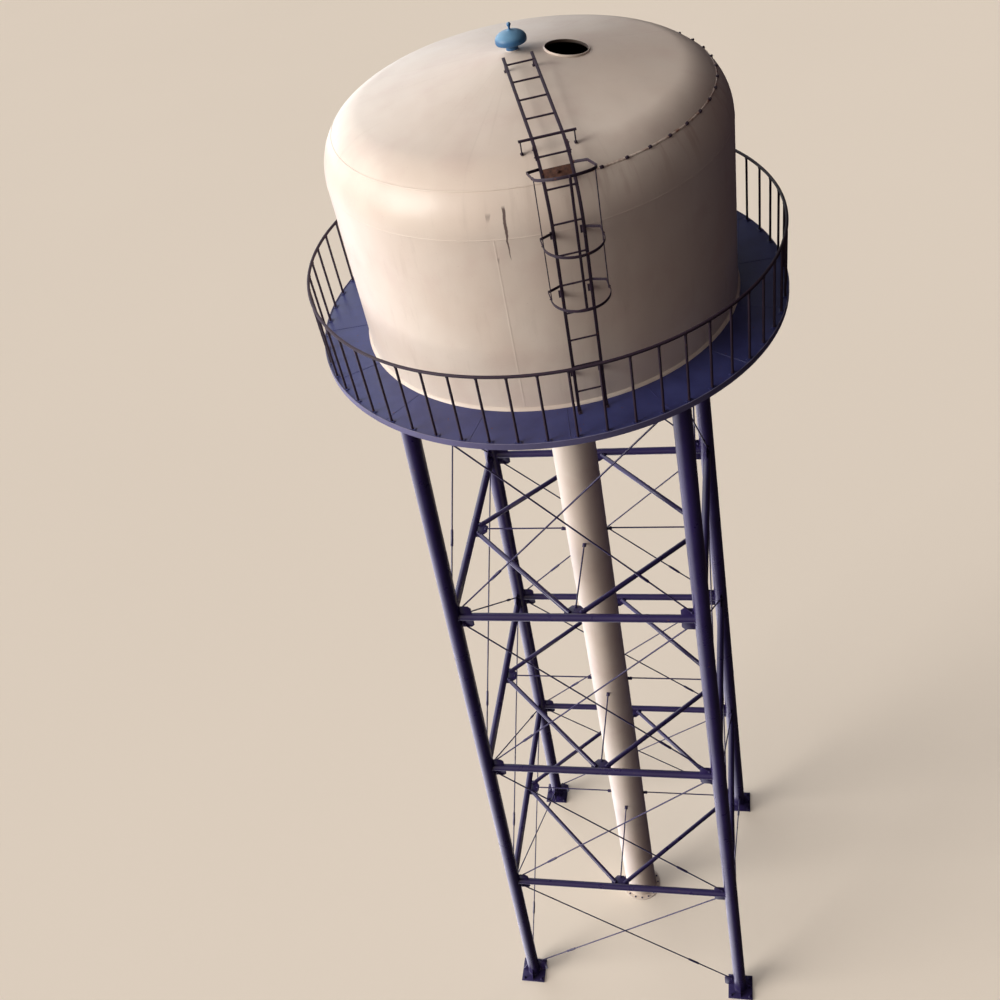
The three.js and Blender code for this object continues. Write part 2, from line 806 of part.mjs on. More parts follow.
function hoopOutline(reach) {
  const middle = [reach - HOOP_HALF, 0];
  const root = STRINGER_HALF + STRINGER_W / 2 + FIT;
  const inner = HOOP_HALF - HOOP_T;
  const quarter = Math.PI / 2;
  return [
    [0, -root],
    [HOOP_FLARE, -HOOP_HALF],
    ...arc(HOOP_HALF, -quarter, quarter, HOOP_STEPS, middle),
    [HOOP_FLARE, HOOP_HALF],
    [0, root],
    [HOOP_T, root],
    [HOOP_FLARE + HOOP_T / 2, inner],
    ...arc(inner, quarter, -quarter, HOOP_STEPS, middle),
    [HOOP_FLARE + HOOP_T / 2, -inner],
    [HOOP_T, -root],
  ];
}

function hoop(out, z, reach, tilt) {
  const geometry = extrude(hoopOutline(reach), HOOP_H);
  geometry.translate(0, 0, -HOOP_H / 2);
  geometry.rotateY(-tilt);
  geometry.translate(out, 0, z);
  geometry.rotateZ(LADDER_AZIMUTH);
  return solid(geometry);
}

const [topOut, topZ] = ladderArc(0, TOP_HOOP_ANGLE, TOP_HOOP_ANGLE, 1)[0];

function cageBar(out, side, sizeOut, sizeSide) {
  const bottom = HOOP_LEVELS[0] - HOOP_H / 4;
  const top = topZ + (out - topOut) * Math.tan(TOP_HOOP_TILT);
  const geometry = new THREE.BoxGeometry(sizeOut, sizeSide, top - bottom);
  geometry.translate(out, side, (top + bottom) / 2);
  geometry.rotateZ(LADDER_AZIMUTH);
  return solid(geometry);
}

const hoopStart = LADDER_OUT - HALF_T;
const cage = HOOP_LEVELS.map((z) => hoop(hoopStart, z, HOOP_FRONT - hoopStart, 0));
cage.push(hoop(topOut - HALF_T, topZ, TOP_HOOP_REACH, TOP_HOOP_TILT));
for (const side of [-1, 1]) {
  cage.push(cageBar(CAGE_SIDE_BAR_OUT, side * (HOOP_HALF - CAGE_BAR_INSET), CAGE_BAR_W, HOOP_T));
}
cage.push(cageBar(HOOP_FRONT - CAGE_BAR_INSET, 0, HOOP_T, CAGE_BAR_W));
place("ladder_cage", union(cage), DARK);

export default tower;
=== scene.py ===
"""Elevated water tower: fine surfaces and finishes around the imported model.

Lengths are in metres, +Z is up and the front faces -Y, with the origin on the ground under the
riser. Each class holds the sizes of one sub-assembly and makes its pieces.
"""

import logging
import math
from collections.abc import Callable, Iterable, Sequence
from dataclasses import dataclass
from enum import Enum

import bmesh
import bpy
from bmesh.types import BMesh
from bpy.types import Material, Mesh, Node, NodeSocket, NodeTree, Object
from mathutils import Matrix, Vector, noise

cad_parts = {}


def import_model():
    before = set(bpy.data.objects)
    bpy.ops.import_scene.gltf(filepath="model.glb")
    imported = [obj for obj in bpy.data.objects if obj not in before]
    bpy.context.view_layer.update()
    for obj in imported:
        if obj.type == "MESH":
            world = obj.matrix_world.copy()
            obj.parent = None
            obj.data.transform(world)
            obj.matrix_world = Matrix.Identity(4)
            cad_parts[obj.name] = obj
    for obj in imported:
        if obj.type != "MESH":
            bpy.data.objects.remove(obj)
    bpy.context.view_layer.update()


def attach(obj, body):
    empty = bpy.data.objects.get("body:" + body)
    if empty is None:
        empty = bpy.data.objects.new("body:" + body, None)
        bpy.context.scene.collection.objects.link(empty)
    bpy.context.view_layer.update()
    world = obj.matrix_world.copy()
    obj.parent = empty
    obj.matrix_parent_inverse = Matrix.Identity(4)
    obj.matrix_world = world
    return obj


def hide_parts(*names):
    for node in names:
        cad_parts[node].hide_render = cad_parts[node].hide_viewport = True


LOG = logging.getLogger("water_tower")
BODY = "root"
MERGE = 1e-5
SHARP = math.radians(28)
TURN = 2 * math.pi
UP = Vector((0, 0, 1))
OUT = Vector((1, 0, 0))
ENDS = (-1, 1)
HEX = 6
CLOUD_ROUGHNESS = 0.55

# Bevels on thin, usual and thick edges
EASE_THIN = 0.0015
EASE = 0.002
EASE_THICK = 0.003

Point = tuple[float, float]
Size = tuple[float, float, float]
Colour = tuple[float, float, float, float]
BLACK: Colour = (0, 0, 0, 1)


class Slot(Enum):
    """Material slots of the record."""

    CREAM = "cream_paint"
    BLUE = "blue_paint"
    DARK = "dark_paint"
    CAP = "cap_paint"
    RUST = "rusty_steel"


class Corner(Enum):
    """Corners of the trestle, with the signs of X and Y."""

    FRONT_LEFT = (-1, -1)
    FRONT_RIGHT = (1, -1)
    BACK_LEFT = (-1, 1)
    BACK_RIGHT = (1, 1)


class Side(Enum):
    """Faces of the trestle, with the quarter turns that bring the front face to them."""

    FRONT = 0
    RIGHT = 1
    BACK = 2
    LEFT = 3

    @property
    def turned(self) -> Matrix:
        """Turn from the front face to this one."""
        return Matrix.Rotation(self.value * TURN / 4, 4, "Z")


class Keep(Enum):
    """What is left of a shape that another one cuts."""

    OUTSIDE = "DIFFERENCE"
    INSIDE = "INTERSECT"


QUARTERS = ("front_left", "front_right", "back_right", "back_left")


def quartered(stem: str) -> list[str]:
    """Names of the four nodes that make up a round piece."""
    return [f"{stem}_{quarter}" for quarter in QUARTERS]


@dataclass(frozen=True)
class Tower:
    """Driving sizes that the sub-assemblies share."""

    foot_half: float = 2.493
    deck_half: float = 1.946
    deck_z: float = 17.884
    column_r: float = 0.1365
    base_t: float = 0.038
    levels: tuple[float, ...] = (4.301, 8.592, 12.946)
    strut_r: float = 0.0705
    gusset_t: float = 0.014
    riser_r: float = 0.37
    riser_wall: float = 0.014
    tank_r: float = 2.743
    plate: float = 0.014
    wall_drop: float = 0.15
    wall_top_z: float = 20.404
    shoulder_r: float = 0.774
    roof_slope: float = math.radians(10.6)
    seam_angle: float = math.radians(43)
    deck_r: float = 3.456
    deck_t: float = 0.012
    ladder_azimuth: float = math.radians(-72)
    ladder_off: float = 0.15
    fit: float = 0.0004

    @property
    def wall_bottom_z(self) -> float:
        """Height of the tank wall's lower edge."""
        return self.deck_z - self.wall_drop

    @property
    def roof_tangent(self) -> float:
        """Angle on the shoulder's arc where the cone of the roof starts."""
        return math.pi / 2 - self.roof_slope

    def half_spread(self, z: float) -> float:
        """Half the distance between the column axes at a height."""
        return self.foot_half - (self.foot_half - self.deck_half) * z / self.deck_z

    def corner(self, x_sign: int, y_sign: int, z: float) -> Vector:
        """Point on a column's axis at a height."""
        half = self.half_spread(z)
        return Vector((x_sign * half, y_sign * half, z))

    def bowl(self, grow: float, first: float, steps: int) -> list[Point]:
        """Outline of the tank's bowl, an elliptical arc.

        Args:
            grow: Distance outside the bowl's outer face.
            first: Radius at which the arc starts.
            steps: Number of steps along the arc.

        Returns:
            Points of (radius, height) from the middle out to the wall.
        """
        radius = self.tank_r + grow
        depth = self.tank_r / 2 + grow
        start = math.asin(first / radius)
        angles = [start + (math.pi / 2 - start) * i / steps for i in range(steps + 1)]
        return [(radius * math.sin(a), self.wall_bottom_z - depth * math.cos(a)) for a in angles]

    def shoulder(self, offset: float, first: float, last: float, steps: int) -> list[Point]:
        """Outline of the shoulder between two angles, at a distance outside its outer face."""
        centre = (self.tank_r - self.shoulder_r, self.wall_top_z)
        return arc(self.shoulder_r + offset, first, last, steps, centre)

    def on_shoulder(self, angle: float, offset: float = 0.0) -> Point:
        """Point of the shoulder's arc at an angle, at a distance outside its outer face."""
        return self.shoulder(offset, angle, angle, 1)[0]

    def roof_z(self, radius: float, offset: float = 0.0) -> float:
        """Height of the roof's cone at a radius, at a distance outside its outer face."""
        edge, height = self.on_shoulder(self.roof_tangent, offset)
        return height + (edge - radius) * math.tan(self.roof_slope)


TOWER = Tower()


# Outlines and places


def arc(radius: float, first: float, last: float, steps: int, centre: Point = (0, 0)) -> list[Point]:
    """Points on an arc about a centre.

    Args:
        radius: Radius of the arc.
        first: Angle of the first point.
        last: Angle of the last point.
        steps: Number of steps between them.
        centre: Centre of the arc.

    Returns:
        The points, both ends included.
    """
    angles = [first + (last - first) * i / steps for i in range(steps + 1)]
    return [(centre[0] + radius * math.cos(a), centre[1] + radius * math.sin(a)) for a in angles]


def spun(count: int, start: float = 0.0) -> list[Matrix]:
    """Equal turns about Z, the first one at a start angle."""
    return [Matrix.Rotation(start + TURN * i / count, 4, "Z") for i in range(count)]


def upright(azimuth: float) -> Matrix:
    """Plane of (distance out, height) at an azimuth, with its third axis across it."""
    return Matrix.Rotation(azimuth, 4, "Z") @ Matrix.Rotation(math.pi / 2, 4, "X")


def facing(place: Vector, way: Vector) -> Matrix:
    """Place that points +Z in a direction."""
    return Matrix.Translation(place) @ way.to_track_quat("Z", "Y").to_matrix().to_4x4()


@dataclass(frozen=True)
class Bead:
    """Weld bead that lies half sunk in a surface: its width and how far it stands proud."""

    width: float
    height: float
    corners: int = 8

    def outline(self, point: Point, normal: float = 0.0) -> list[Point]:
        """Closed outline of the bead.

        Args:
            point: Point of the surface, as (radius, height).
            normal: Angle of the surface's normal in the plane of the outline.

        Returns:
            Points on an ellipse.
        """
        out = Vector((math.cos(normal), math.sin(normal)))
        along = Vector((-out.y, out.x))
        middle = Vector(point)
        last = self.corners - 1
        points = []
        for across, proud in arc(1.0, 0.0, TURN * last / self.corners, last):
            points.append(tuple(middle + along * across * self.width / 2 + out * proud * self.height))
        return points


# Shapes


def round_off(shape: BMesh, width: float, segments: int = 2) -> BMesh:
    """Bevel the edges between faces that meet at a clear angle.

    Args:
        shape: Mesh to change.
        width: Width of the bevel.
        segments: Number of faces across it.

    Returns:
        The same mesh.
    """
    bmesh.ops.recalc_face_normals(shape, faces=shape.faces)
    edges = [e for e in shape.edges if e.is_manifold and abs(e.calc_face_angle(0.0)) > SHARP]
    bmesh.ops.bevel(
        shape,
        geom=edges,
        offset=width,
        offset_type="OFFSET",
        affect="EDGES",
        segments=segments,
        profile=0.5,
        material=-1,
        clamp_overlap=True,
    )
    return shape


def lathe(outline: Sequence[Point], steps: int, closed: bool = True) -> BMesh:
    """Body of revolution about Z.

    Args:
        outline: Points of (radius, height).
        steps: Number of steps around.
        closed: Whether the outline's last point joins its first.

    Returns:
        A new mesh.
    """
    shape = bmesh.new()
    ring = [shape.verts.new((radius, 0.0, height)) for radius, height in outline]
    edges = [shape.edges.new(pair) for pair in zip(ring, ring[1:])]
    if closed:
        edges.append(shape.edges.new((ring[-1], ring[0])))
    bmesh.ops.spin(
        shape,
        geom=[*ring, *edges],
        cent=(0, 0, 0),
        axis=(0, 0, 1),
        dvec=(0, 0, 0),
        angle=TURN,
        steps=steps,
        use_merge=True,
    )
    return shape


def rod(start: Vector, end: Vector, radius: float, sides: int, tip: float | None = None) -> BMesh:
    """Round bar from one point to another.

    Args:
        start: Middle of the first end.
        end: Middle of the last end.
        radius: Radius at the first end.
        sides: Number of sides.
        tip: Radius at the last end, if it differs.

    Returns:
        A new mesh.
    """
    shape = bmesh.new()
    bmesh.ops.create_cone(
        shape,
        cap_ends=True,
        cap_tris=False,
        segments=sides,
        radius1=radius,
        radius2=radius if tip is None else tip,
        depth=(end - start).length,
        matrix=facing((start + end) / 2, end - start),
    )
    return shape


def disc(middle: Vector, half: Vector, radius: float, sides: int, edge: float = EASE) -> BMesh:
    """Short round bar with eased edges.

    Args:
        middle: Its middle.
        half: From there to the middle of its last end.
        radius: Radius of the bar.
        sides: Number of sides.
        edge: Width of the bevel on its edges.

    Returns:
        A new mesh.
    """
    return round_off(rod(middle - half, middle + half, radius, sides), edge, 1)


def slab(outline: Sequence[Point], thickness: float, edge: float = EASE) -> BMesh:
    """Flat plate with eased edges, centred on the XY plane.

    Args:
        outline: Corners of the plate.
        thickness: Thickness along Z.
        edge: Width of the bevel on its edges.

    Returns:
        A new mesh.
    """
    shape = bmesh.new()
    face = shape.faces.new([shape.verts.new((x, y, -thickness / 2)) for x, y in outline])
    grown = bmesh.ops.extrude_face_region(shape, geom=[face])["geom"]
    top = [part for part in grown if isinstance(part, bmesh.types.BMVert)]
    bmesh.ops.translate(shape, verts=top, vec=(0, 0, thickness))
    return round_off(shape, edge)


def brick(size: Size, centre: Sequence[float] = (0, 0, 0), edge: float = EASE) -> BMesh:
    """Rectangular block with eased edges.

    Args:
        size: Lengths along X, Y and Z.
        centre: Middle of the block.
        edge: Width of the bevel on its edges.

    Returns:
        A new mesh.
    """
    shape = bmesh.new()
    place = Matrix.Translation(centre) @ Matrix.Diagonal((*size, 1.0))
    bmesh.ops.create_cube(shape, size=1.0, matrix=place)
    return round_off(shape, edge)


def new_mesh(name: str, shape: BMesh) -> Mesh:
    """Turn a shape into a mesh with its doubles merged and its faces pointing out.

    Args:
        name: Name of the mesh.
        shape: The shape, which is freed.

    Returns:
        The new mesh.
    """
    bmesh.ops.remove_doubles(shape, verts=shape.verts, dist=MERGE)
    bmesh.ops.recalc_face_normals(shape, faces=shape.faces)
    mesh = bpy.data.meshes.new(name)
    shape.to_mesh(mesh)
    shape.free()
    return mesh


def show(mesh: Mesh) -> Object:
    """Link a mesh to the scene.

    Args:
        mesh: The mesh.

    Returns:
        Its object, at the origin and with its name.
    """
    piece = bpy.data.objects.new(mesh.name, mesh)
    bpy.context.scene.collection.objects.link(piece)
    return piece


def carved(shape: BMesh, tool: BMesh, keep: Keep = Keep.OUTSIDE) -> BMesh:
    """Cut or clip one shape with another.

    Args:
        shape: Mesh to change, which is freed.
        tool: Mesh that cuts it, which is freed.
        keep: Whether what is outside or inside the tool is kept.

    Returns:
        A new mesh.
    """
    body, cutter = (show(new_mesh("carve", part)) for part in (shape, tool))
    change = body.modifiers.new("carve", "BOOLEAN")
    change.operation = keep.value
    change.solver = "EXACT"
    change.object = cutter
    seen = body.evaluated_get(bpy.context.evaluated_depsgraph_get())
    result = bmesh.new()
    result.from_mesh(seen.to_mesh())
    seen.to_mesh_clear()
    for spent in (body, cutter):
        data = spent.data
        bpy.data.objects.remove(spent)
        bpy.data.meshes.remove(data)
    return result


class Form:
    """A piece in the making, to which one shape is added after another."""

    def __init__(self) -> None:
        """Start with an empty mesh."""
        self.mesh = bmesh.new()

    def take(self, shape: BMesh, places: Iterable[Matrix] = (Matrix(),)) -> "Form":
        """Add copies of a shape.

        Args:
            shape: Mesh to add, which is freed.
            places: Place of each copy.

        Returns:
            This form.
        """
        one = new_mesh("shape", shape)
        for place in places:
            copy = one.copy()
            copy.transform(place)
            self.mesh.from_mesh(copy)
            bpy.data.meshes.remove(copy)
        bpy.data.meshes.remove(one)
        return self


@dataclass(frozen=True)
class Bolt:
    """Hex head on a washer: radius of the shank and length of thread that stands out of the head.

    The other sizes are shares of that radius.
    """

    radius: float
    thread: float
    washer_r: float = 2.1
    washer_t: float = 0.3
    washer_edge: float = 0.1
    washer_sides: int = 16
    head_r: float = 1.75
    head_t: float = 1.3
    head_edge: float = 0.15
    tip_r: float = 0.9
    sides: int = 12

    def shape(self) -> BMesh:
        """Model the bolt.

        Returns:
            A new mesh, seated on the XY plane.
        """
        size, seat = self.radius, 0 * UP
        washer = UP * self.washer_t * size
        head = washer + UP * self.head_t * size
        form = Form()
        form.take(disc(seat, washer, self.washer_r * size, self.washer_sides, self.washer_edge * size))
        form.take(round_off(rod(seat, head, self.head_r * size, HEX), self.head_edge * size, 1))
        form.take(rod(head / 2, head + UP * self.thread, size, self.sides, self.tip_r * size))
        return form.mesh

    def at(self, place: Vector, way: Vector) -> tuple[BMesh, list[Matrix]]:
        """The bolt and its place, on a surface that faces a direction."""
        return self.shape(), [facing(place, way)]


@dataclass(frozen=True)
class Waves:
    """Slight waves of thin plate, which run on from one shell of the tank to the next."""

    depth: float = 0.004
    pitch: float = 0.9
    upright_share: float = 0.2
    fine_share: float = 0.5
    fine_scale: float = 2.3

    def press(self, shape: BMesh) -> BMesh:
        """Move the points of a shape in and out.

        Args:
            shape: Mesh to change.

        Returns:
            The same mesh.
        """
        middle = Vector((0, 0, (TOWER.deck_z + TOWER.wall_top_z) / 2))
        for vert in shape.verts:
            out = (vert.co - middle).normalized()
            flat = out.copy()
            flat.z *= self.upright_share
            where = (middle + flat * TOWER.tank_r) / self.pitch
            fine = self.fine_share * noise.noise(where * self.fine_scale)
            vert.co += out * self.depth * (noise.noise(where) + fine)
        return shape


# Finishes


@dataclass(frozen=True)
class Patches:
    """Cloudy patches of a finish.

    The noise has a scale and a detail, a patch begins and is whole at two of its values, and the
    share says how much of it shows.
    """

    scale: float
    detail: float
    start: float
    full: float
    share: float = 1.0


@dataclass(frozen=True)
class Relief:
    """Fine relief of a finish: scale and detail of its noise, and its depth."""

    scale: float
    detail: float
    depth: float


def dimmed(colour: Colour, share: float) -> Colour:
    """That share of a colour's brightness."""
    return (*(share * part for part in colour[:3]), 1.0)


class Nodes:
    """A node tree in the making, with short calls for the nodes that the finishes share."""

    def __init__(self, tree: NodeTree, coordinates: str) -> None:
        """Start from one output of the texture coordinates."""
        self.tree = tree
        self.where = self.add("ShaderNodeTexCoord").outputs[coordinates]

    def add(self, kind: str, **settings: object) -> Node:
        """Add a node.

        Args:
            kind: Type of the node.
            settings: Its properties.

        Returns:
            The node.
        """
        node = self.tree.nodes.new(kind)
        for key, value in settings.items():
            setattr(node, key, value)
        return node

    def feed(self, socket: NodeSocket, value: object) -> None:
        """Give an input its value.

        Args:
            socket: The input.
            value: Another node's output, a number, a vector or a colour.
        """
        if isinstance(value, NodeSocket):
            self.tree.links.new(value, socket)
        else:
            socket.default_value = value

    def fed(self, node: Node, *values: object) -> Node:
        """Give a node's first inputs their values.

        Args:
            node: The node.
            values: Value of each input, in order.

        Returns:
            The same node.
        """
        for socket, value in zip(node.inputs, values):
            self.feed(socket, value)
        return node

    def calc(self, operation: str, *values: object) -> NodeSocket:
        """Result of a Math node."""
        return self.fed(self.add("ShaderNodeMath", operation=operation), *values).outputs[0]

    def vector(self, operation: str, *values: object) -> NodeSocket:
        """Vector that a Vector Math node gives."""
        return self.fed(self.add("ShaderNodeVectorMath", operation=operation), *values).outputs["Vector"]

    def product(self, first: object, *others: object) -> NodeSocket:
        """Product of two or more numbers.

        Args:
            first: The first number.
            others: The other numbers.

        Returns:
            The product.
        """
        for other in others:
            first = self.calc("MULTIPLY", first, other)
        return first

    def graded(self, value: object, gain: float, base: object) -> NodeSocket:
        """A base value to which a share of another value is added."""
        return self.calc("ADD", self.calc("MULTIPLY", value, gain), base)

    def rises(self, value: object, low: float, high: float) -> NodeSocket:
        """Smooth step between two values, which falls where the first is the higher one.

        Args:
            value: The value that is looked at.
            low: Where the result is 0.
            high: Where the result is 1.

        Returns:
            A number from 0 to 1.
        """
        node = self.add("ShaderNodeMapRange", interpolation_type="SMOOTHSTEP", clamp=True)
        flip = low > high
        self.fed(node, value, min(low, high), max(low, high), float(flip), float(not flip))
        return node.outputs["Result"]

    def stretched(self, scale: Size) -> NodeSocket:
        """Scale the coordinates along each axis.

        Args:
            scale: Scale along X, Y and Z.

        Returns:
            The new coordinates.
        """
        node = self.add("ShaderNodeMapping", vector_type="POINT")
        self.feed(node.inputs["Scale"], scale)
        self.feed(node.inputs["Vector"], self.where)
        return node.outputs["Vector"]

    def clouds(self, scale: float, detail: float = 4.0, where: object = None) -> NodeSocket:
        """Noise of a fixed roughness.

        Args:
            scale: Scale of the noise.
            detail: Number of its finer layers.
            where: Coordinates, if not the piece's own.

        Returns:
            A number between 0 and 1.
        """
        node = self.add("ShaderNodeTexNoise")
        self.feed(node.inputs["Scale"], scale)
        self.feed(node.inputs["Detail"], detail)
        self.feed(node.inputs["Roughness"], CLOUD_ROUGHNESS)
        self.feed(node.inputs["Vector"], self.where if where is None else where)
        return node.outputs["Fac"]

    def patches(self, kind: Patches, where: object = None) -> NodeSocket:
        """Mask of cloudy patches, drawn in the piece's own coordinates or in others."""
        noisy = self.clouds(kind.scale, kind.detail, where)
        return self.product(self.rises(noisy, kind.start, kind.full), kind.share)

    def mix(self, share: object, first: object, second: object, blend: str = "MIX") -> NodeSocket:
        """Colour made of two others.

        Args:
            share: How much of the second colour shows.
            first: The first colour.
            second: The second colour.
            blend: How the second goes on the first.

        Returns:
            The colour.
        """
        node = self.add("ShaderNodeMix", data_type="RGBA", blend_type=blend)
        self.feed(node.inputs[0], share)
        self.feed(node.inputs[6], first)
        self.feed(node.inputs[7], second)
        return node.outputs[2]

    def axes(self, vector: object) -> NodeSocket:
        """X, Y and Z outputs of a vector."""
        return self.fed(self.add("ShaderNodeSeparateXYZ"), vector).outputs


class Bench(Nodes):
    """The nodes of one material, with patterns in the piece's own coordinates."""

    def __init__(self, name: str, specular: float = 0.5) -> None:
        """Start a material.

        Args:
            name: Its name.
            specular: Its specular level.
        """
        self.material = bpy.data.materials.new(name)
        self.material.use_nodes = True
        super().__init__(self.material.node_tree, "Object")
        self.shader = self.tree.nodes["Principled BSDF"]
        self.feed(self.shader.inputs["Specular IOR Level"], specular)

    def facing_up(self) -> NodeSocket:
        """Z of the surface's normal."""
        return self.axes(self.add("ShaderNodeNewGeometry").outputs["Normal"])[2]

    def bump(self, height: object, distance: float, under: object = None) -> NodeSocket:
        """Normal of a surface with relief.

        Args:
            height: The relief, from 0 to 1.
            distance: Its depth.
            under: Normal of a relief that it lies on.

        Returns:
            The normal.
        """
        node = self.add("ShaderNodeBump")
        self.feed(node.inputs["Distance"], distance)
        self.feed(node.inputs["Height"], height)
        if under is not None:
            self.feed(node.inputs["Normal"], under)
        return node.outputs["Normal"]

    def relief(self, kind: Relief, under: object = None, where: object = None) -> NodeSocket:
        """Normal of a surface with a noisy relief."""
        return self.bump(self.clouds(kind.scale, kind.detail, where), kind.depth, under)

    def glow(self, tone: Colour, strength: object) -> None:
        """Make the surface give light of a colour."""
        self.feed(self.shader.inputs["Emission Color"], tone)
        self.feed(self.shader.inputs["Emission Strength"], strength)

    def done(self, colour: object, roughness: object, normal: object) -> Material:
        """Wire up the shader.

        Args:
            colour: Base colour.
            roughness: Roughness of the gloss.
            normal: Normal with the relief.

        Returns:
            The finished material.
        """
        self.feed(self.shader.inputs["Base Color"], colour)
        self.feed(self.shader.inputs["Roughness"], roughness)
        self.feed(self.shader.inputs["Normal"], normal)
        return self.material


@dataclass(frozen=True)
class Run:
    """Dark run down the tank, thick at its top: azimuth, heights of its ends, width and strength."""

    azimuth: float
    top: float
    foot: float
    width: float
    share: float
    blur: Point = (0.006, -0.004)
    top_fade: Point = (0.03, -0.02)
    foot_fade: float = 0.08
    taper: float = 0.1
    wander: float = 0.05
    wander_scale: float = 6.0

    def mask(self, bench: Bench) -> NodeSocket:
        """Draw the run.

        Args:
            bench: The material in the making.

        Returns:
            How much of the run's colour shows.
        """
        x, y, z = bench.axes(bench.where)
        wander = bench.calc("SUBTRACT", bench.clouds(self.wander_scale), 0.5)
        aside = bench.calc("SUBTRACT", bench.calc("ARCTAN2", y, x), self.azimuth)
        off = bench.graded(wander, self.wander, bench.product(aside, TOWER.tank_r))
        width = bench.product(bench.rises(z, self.foot - self.taper, self.top), self.width)
        inside = bench.calc("SUBTRACT", bench.calc("ABSOLUTE", off), width)
        below = bench.rises(z, *(self.top + fade for fade in self.top_fade))
        above = bench.rises(z, self.foot, self.foot + self.foot_fade)
        return bench.product(bench.rises(inside, *self.blur), below, above, self.share)


@dataclass(frozen=True)
class CreamPaint:
    """Glossy cream tank paint, sun-faded, with dirt streaks, one long stain and some seam rust."""

    fresh: Colour = (0.76, 0.64, 0.54, 1)
    faded: Colour = (0.82, 0.72, 0.62, 1)
    pink: Colour = (0.68, 0.52, 0.45, 1)
    dirt: Colour = (0.34, 0.26, 0.20, 1)
    rust: Colour = (0.30, 0.11, 0.06, 1)
    stain: Colour = (0.09, 0.05, 0.05, 1)
    fading: Patches = Patches(0.55, 3.0, 0.35, 0.7)
    blush: Patches = Patches(1.7, 5.0, 0.45, 0.75, 0.35)
    grime: Patches = Patches(22.0, 5.0, 0.56, 0.80, 0.14)
    specks: Patches = Patches(38.0, 3.0, 0.66, 0.76, 0.20)
    streak_pitch: float = 0.06
    seam_z: float = 20.932
    seam_rust: Patches = Patches(9.0, 4.0, 0.42, 0.70)
    seam_reach: Point = (0.02, 0.004)
    drips: Patches = Patches(22.0, 5.0, 0.50, 0.66, 0.20)
    drip_start: Point = (-0.02, 0.0)
    drip_end: Point = (0.45, 0.05)
    rusty_side: Point = (0.0, 1.4)
    runs: tuple[Run, ...] = (
        Run(math.radians(-86.6), 20.76, 20.10, 0.019, 0.9),
        Run(math.radians(-90.7), 20.70, 20.60, 0.030, 0.4),
        Run(math.radians(-89.6), 20.16, 20.06, 0.010, 0.35),
    )
    specular: float = 0.36
    roughness: float = 0.24
    gloss_change: float = 0.18
    gloss_scale: float = 3.0
    dirt_dulls: float = 0.8
    peel: Relief = Relief(160.0, 2.0, 0.0006)
    waves: Relief = Relief(1.6, 2.0, 0.012)

    def streaked(self, bench: Bench) -> NodeSocket:
        """Coordinates that draw noise out down the wall and the riser, and from the apex outwards.

        Args:
            bench: The material in the making.

        Returns:
            The coordinates.
        """
        around = bench.vector("NORMALIZE", bench.vector("MULTIPLY", bench.where, (1, 1, 0)))
        down = bench.vector("MULTIPLY", bench.where, (0, 0, self.streak_pitch))
        return bench.vector("ADD", around, down)

    def rusted(self, bench: Bench, streaks: NodeSocket) -> NodeSocket:
        """Mask of the rust on the right half of the roof seam, and of the drips under it.

        Args:
            bench: The material in the making.
            streaks: Coordinates of the streaks.

        Returns:
            How much of the rust's colour shows.
        """
        x, _, z = bench.axes(bench.where)
        below = bench.calc("SUBTRACT", self.seam_z, z)
        line = bench.rises(bench.calc("ABSOLUTE", below), *self.seam_reach)
        line = bench.product(line, bench.patches(self.seam_rust))
        drips = bench.product(bench.rises(below, *self.drip_start), bench.rises(below, *self.drip_end))
        drips = bench.product(drips, bench.patches(self.drips, streaks))
        return bench.product(bench.calc("MAXIMUM", line, drips), bench.rises(x, *self.rusty_side))

    def make(self) -> Material:
        """Build the material.

        Returns:
            The material.
        """
        bench = Bench("cream_paint", self.specular)
        streaks = self.streaked(bench)
        colour = bench.mix(bench.patches(self.fading), self.fresh, self.faded)
        colour = bench.mix(bench.patches(self.blush), colour, self.pink)
        dirty = bench.patches(self.grime, streaks)
        colour = bench.mix(dirty, colour, self.dirt)
        colour = bench.mix(bench.patches(self.specks), colour, self.dirt)
        colour = bench.mix(self.rusted(bench, streaks), colour, self.rust)
        for run in self.runs:
            colour = bench.mix(run.mask(bench), colour, self.stain)
        rough = bench.graded(bench.clouds(self.gloss_scale), self.gloss_change, self.roughness)
        rough = bench.graded(dirty, self.dirt_dulls, rough)
        return bench.done(colour, rough, bench.relief(self.waves, bench.relief(self.peel)))


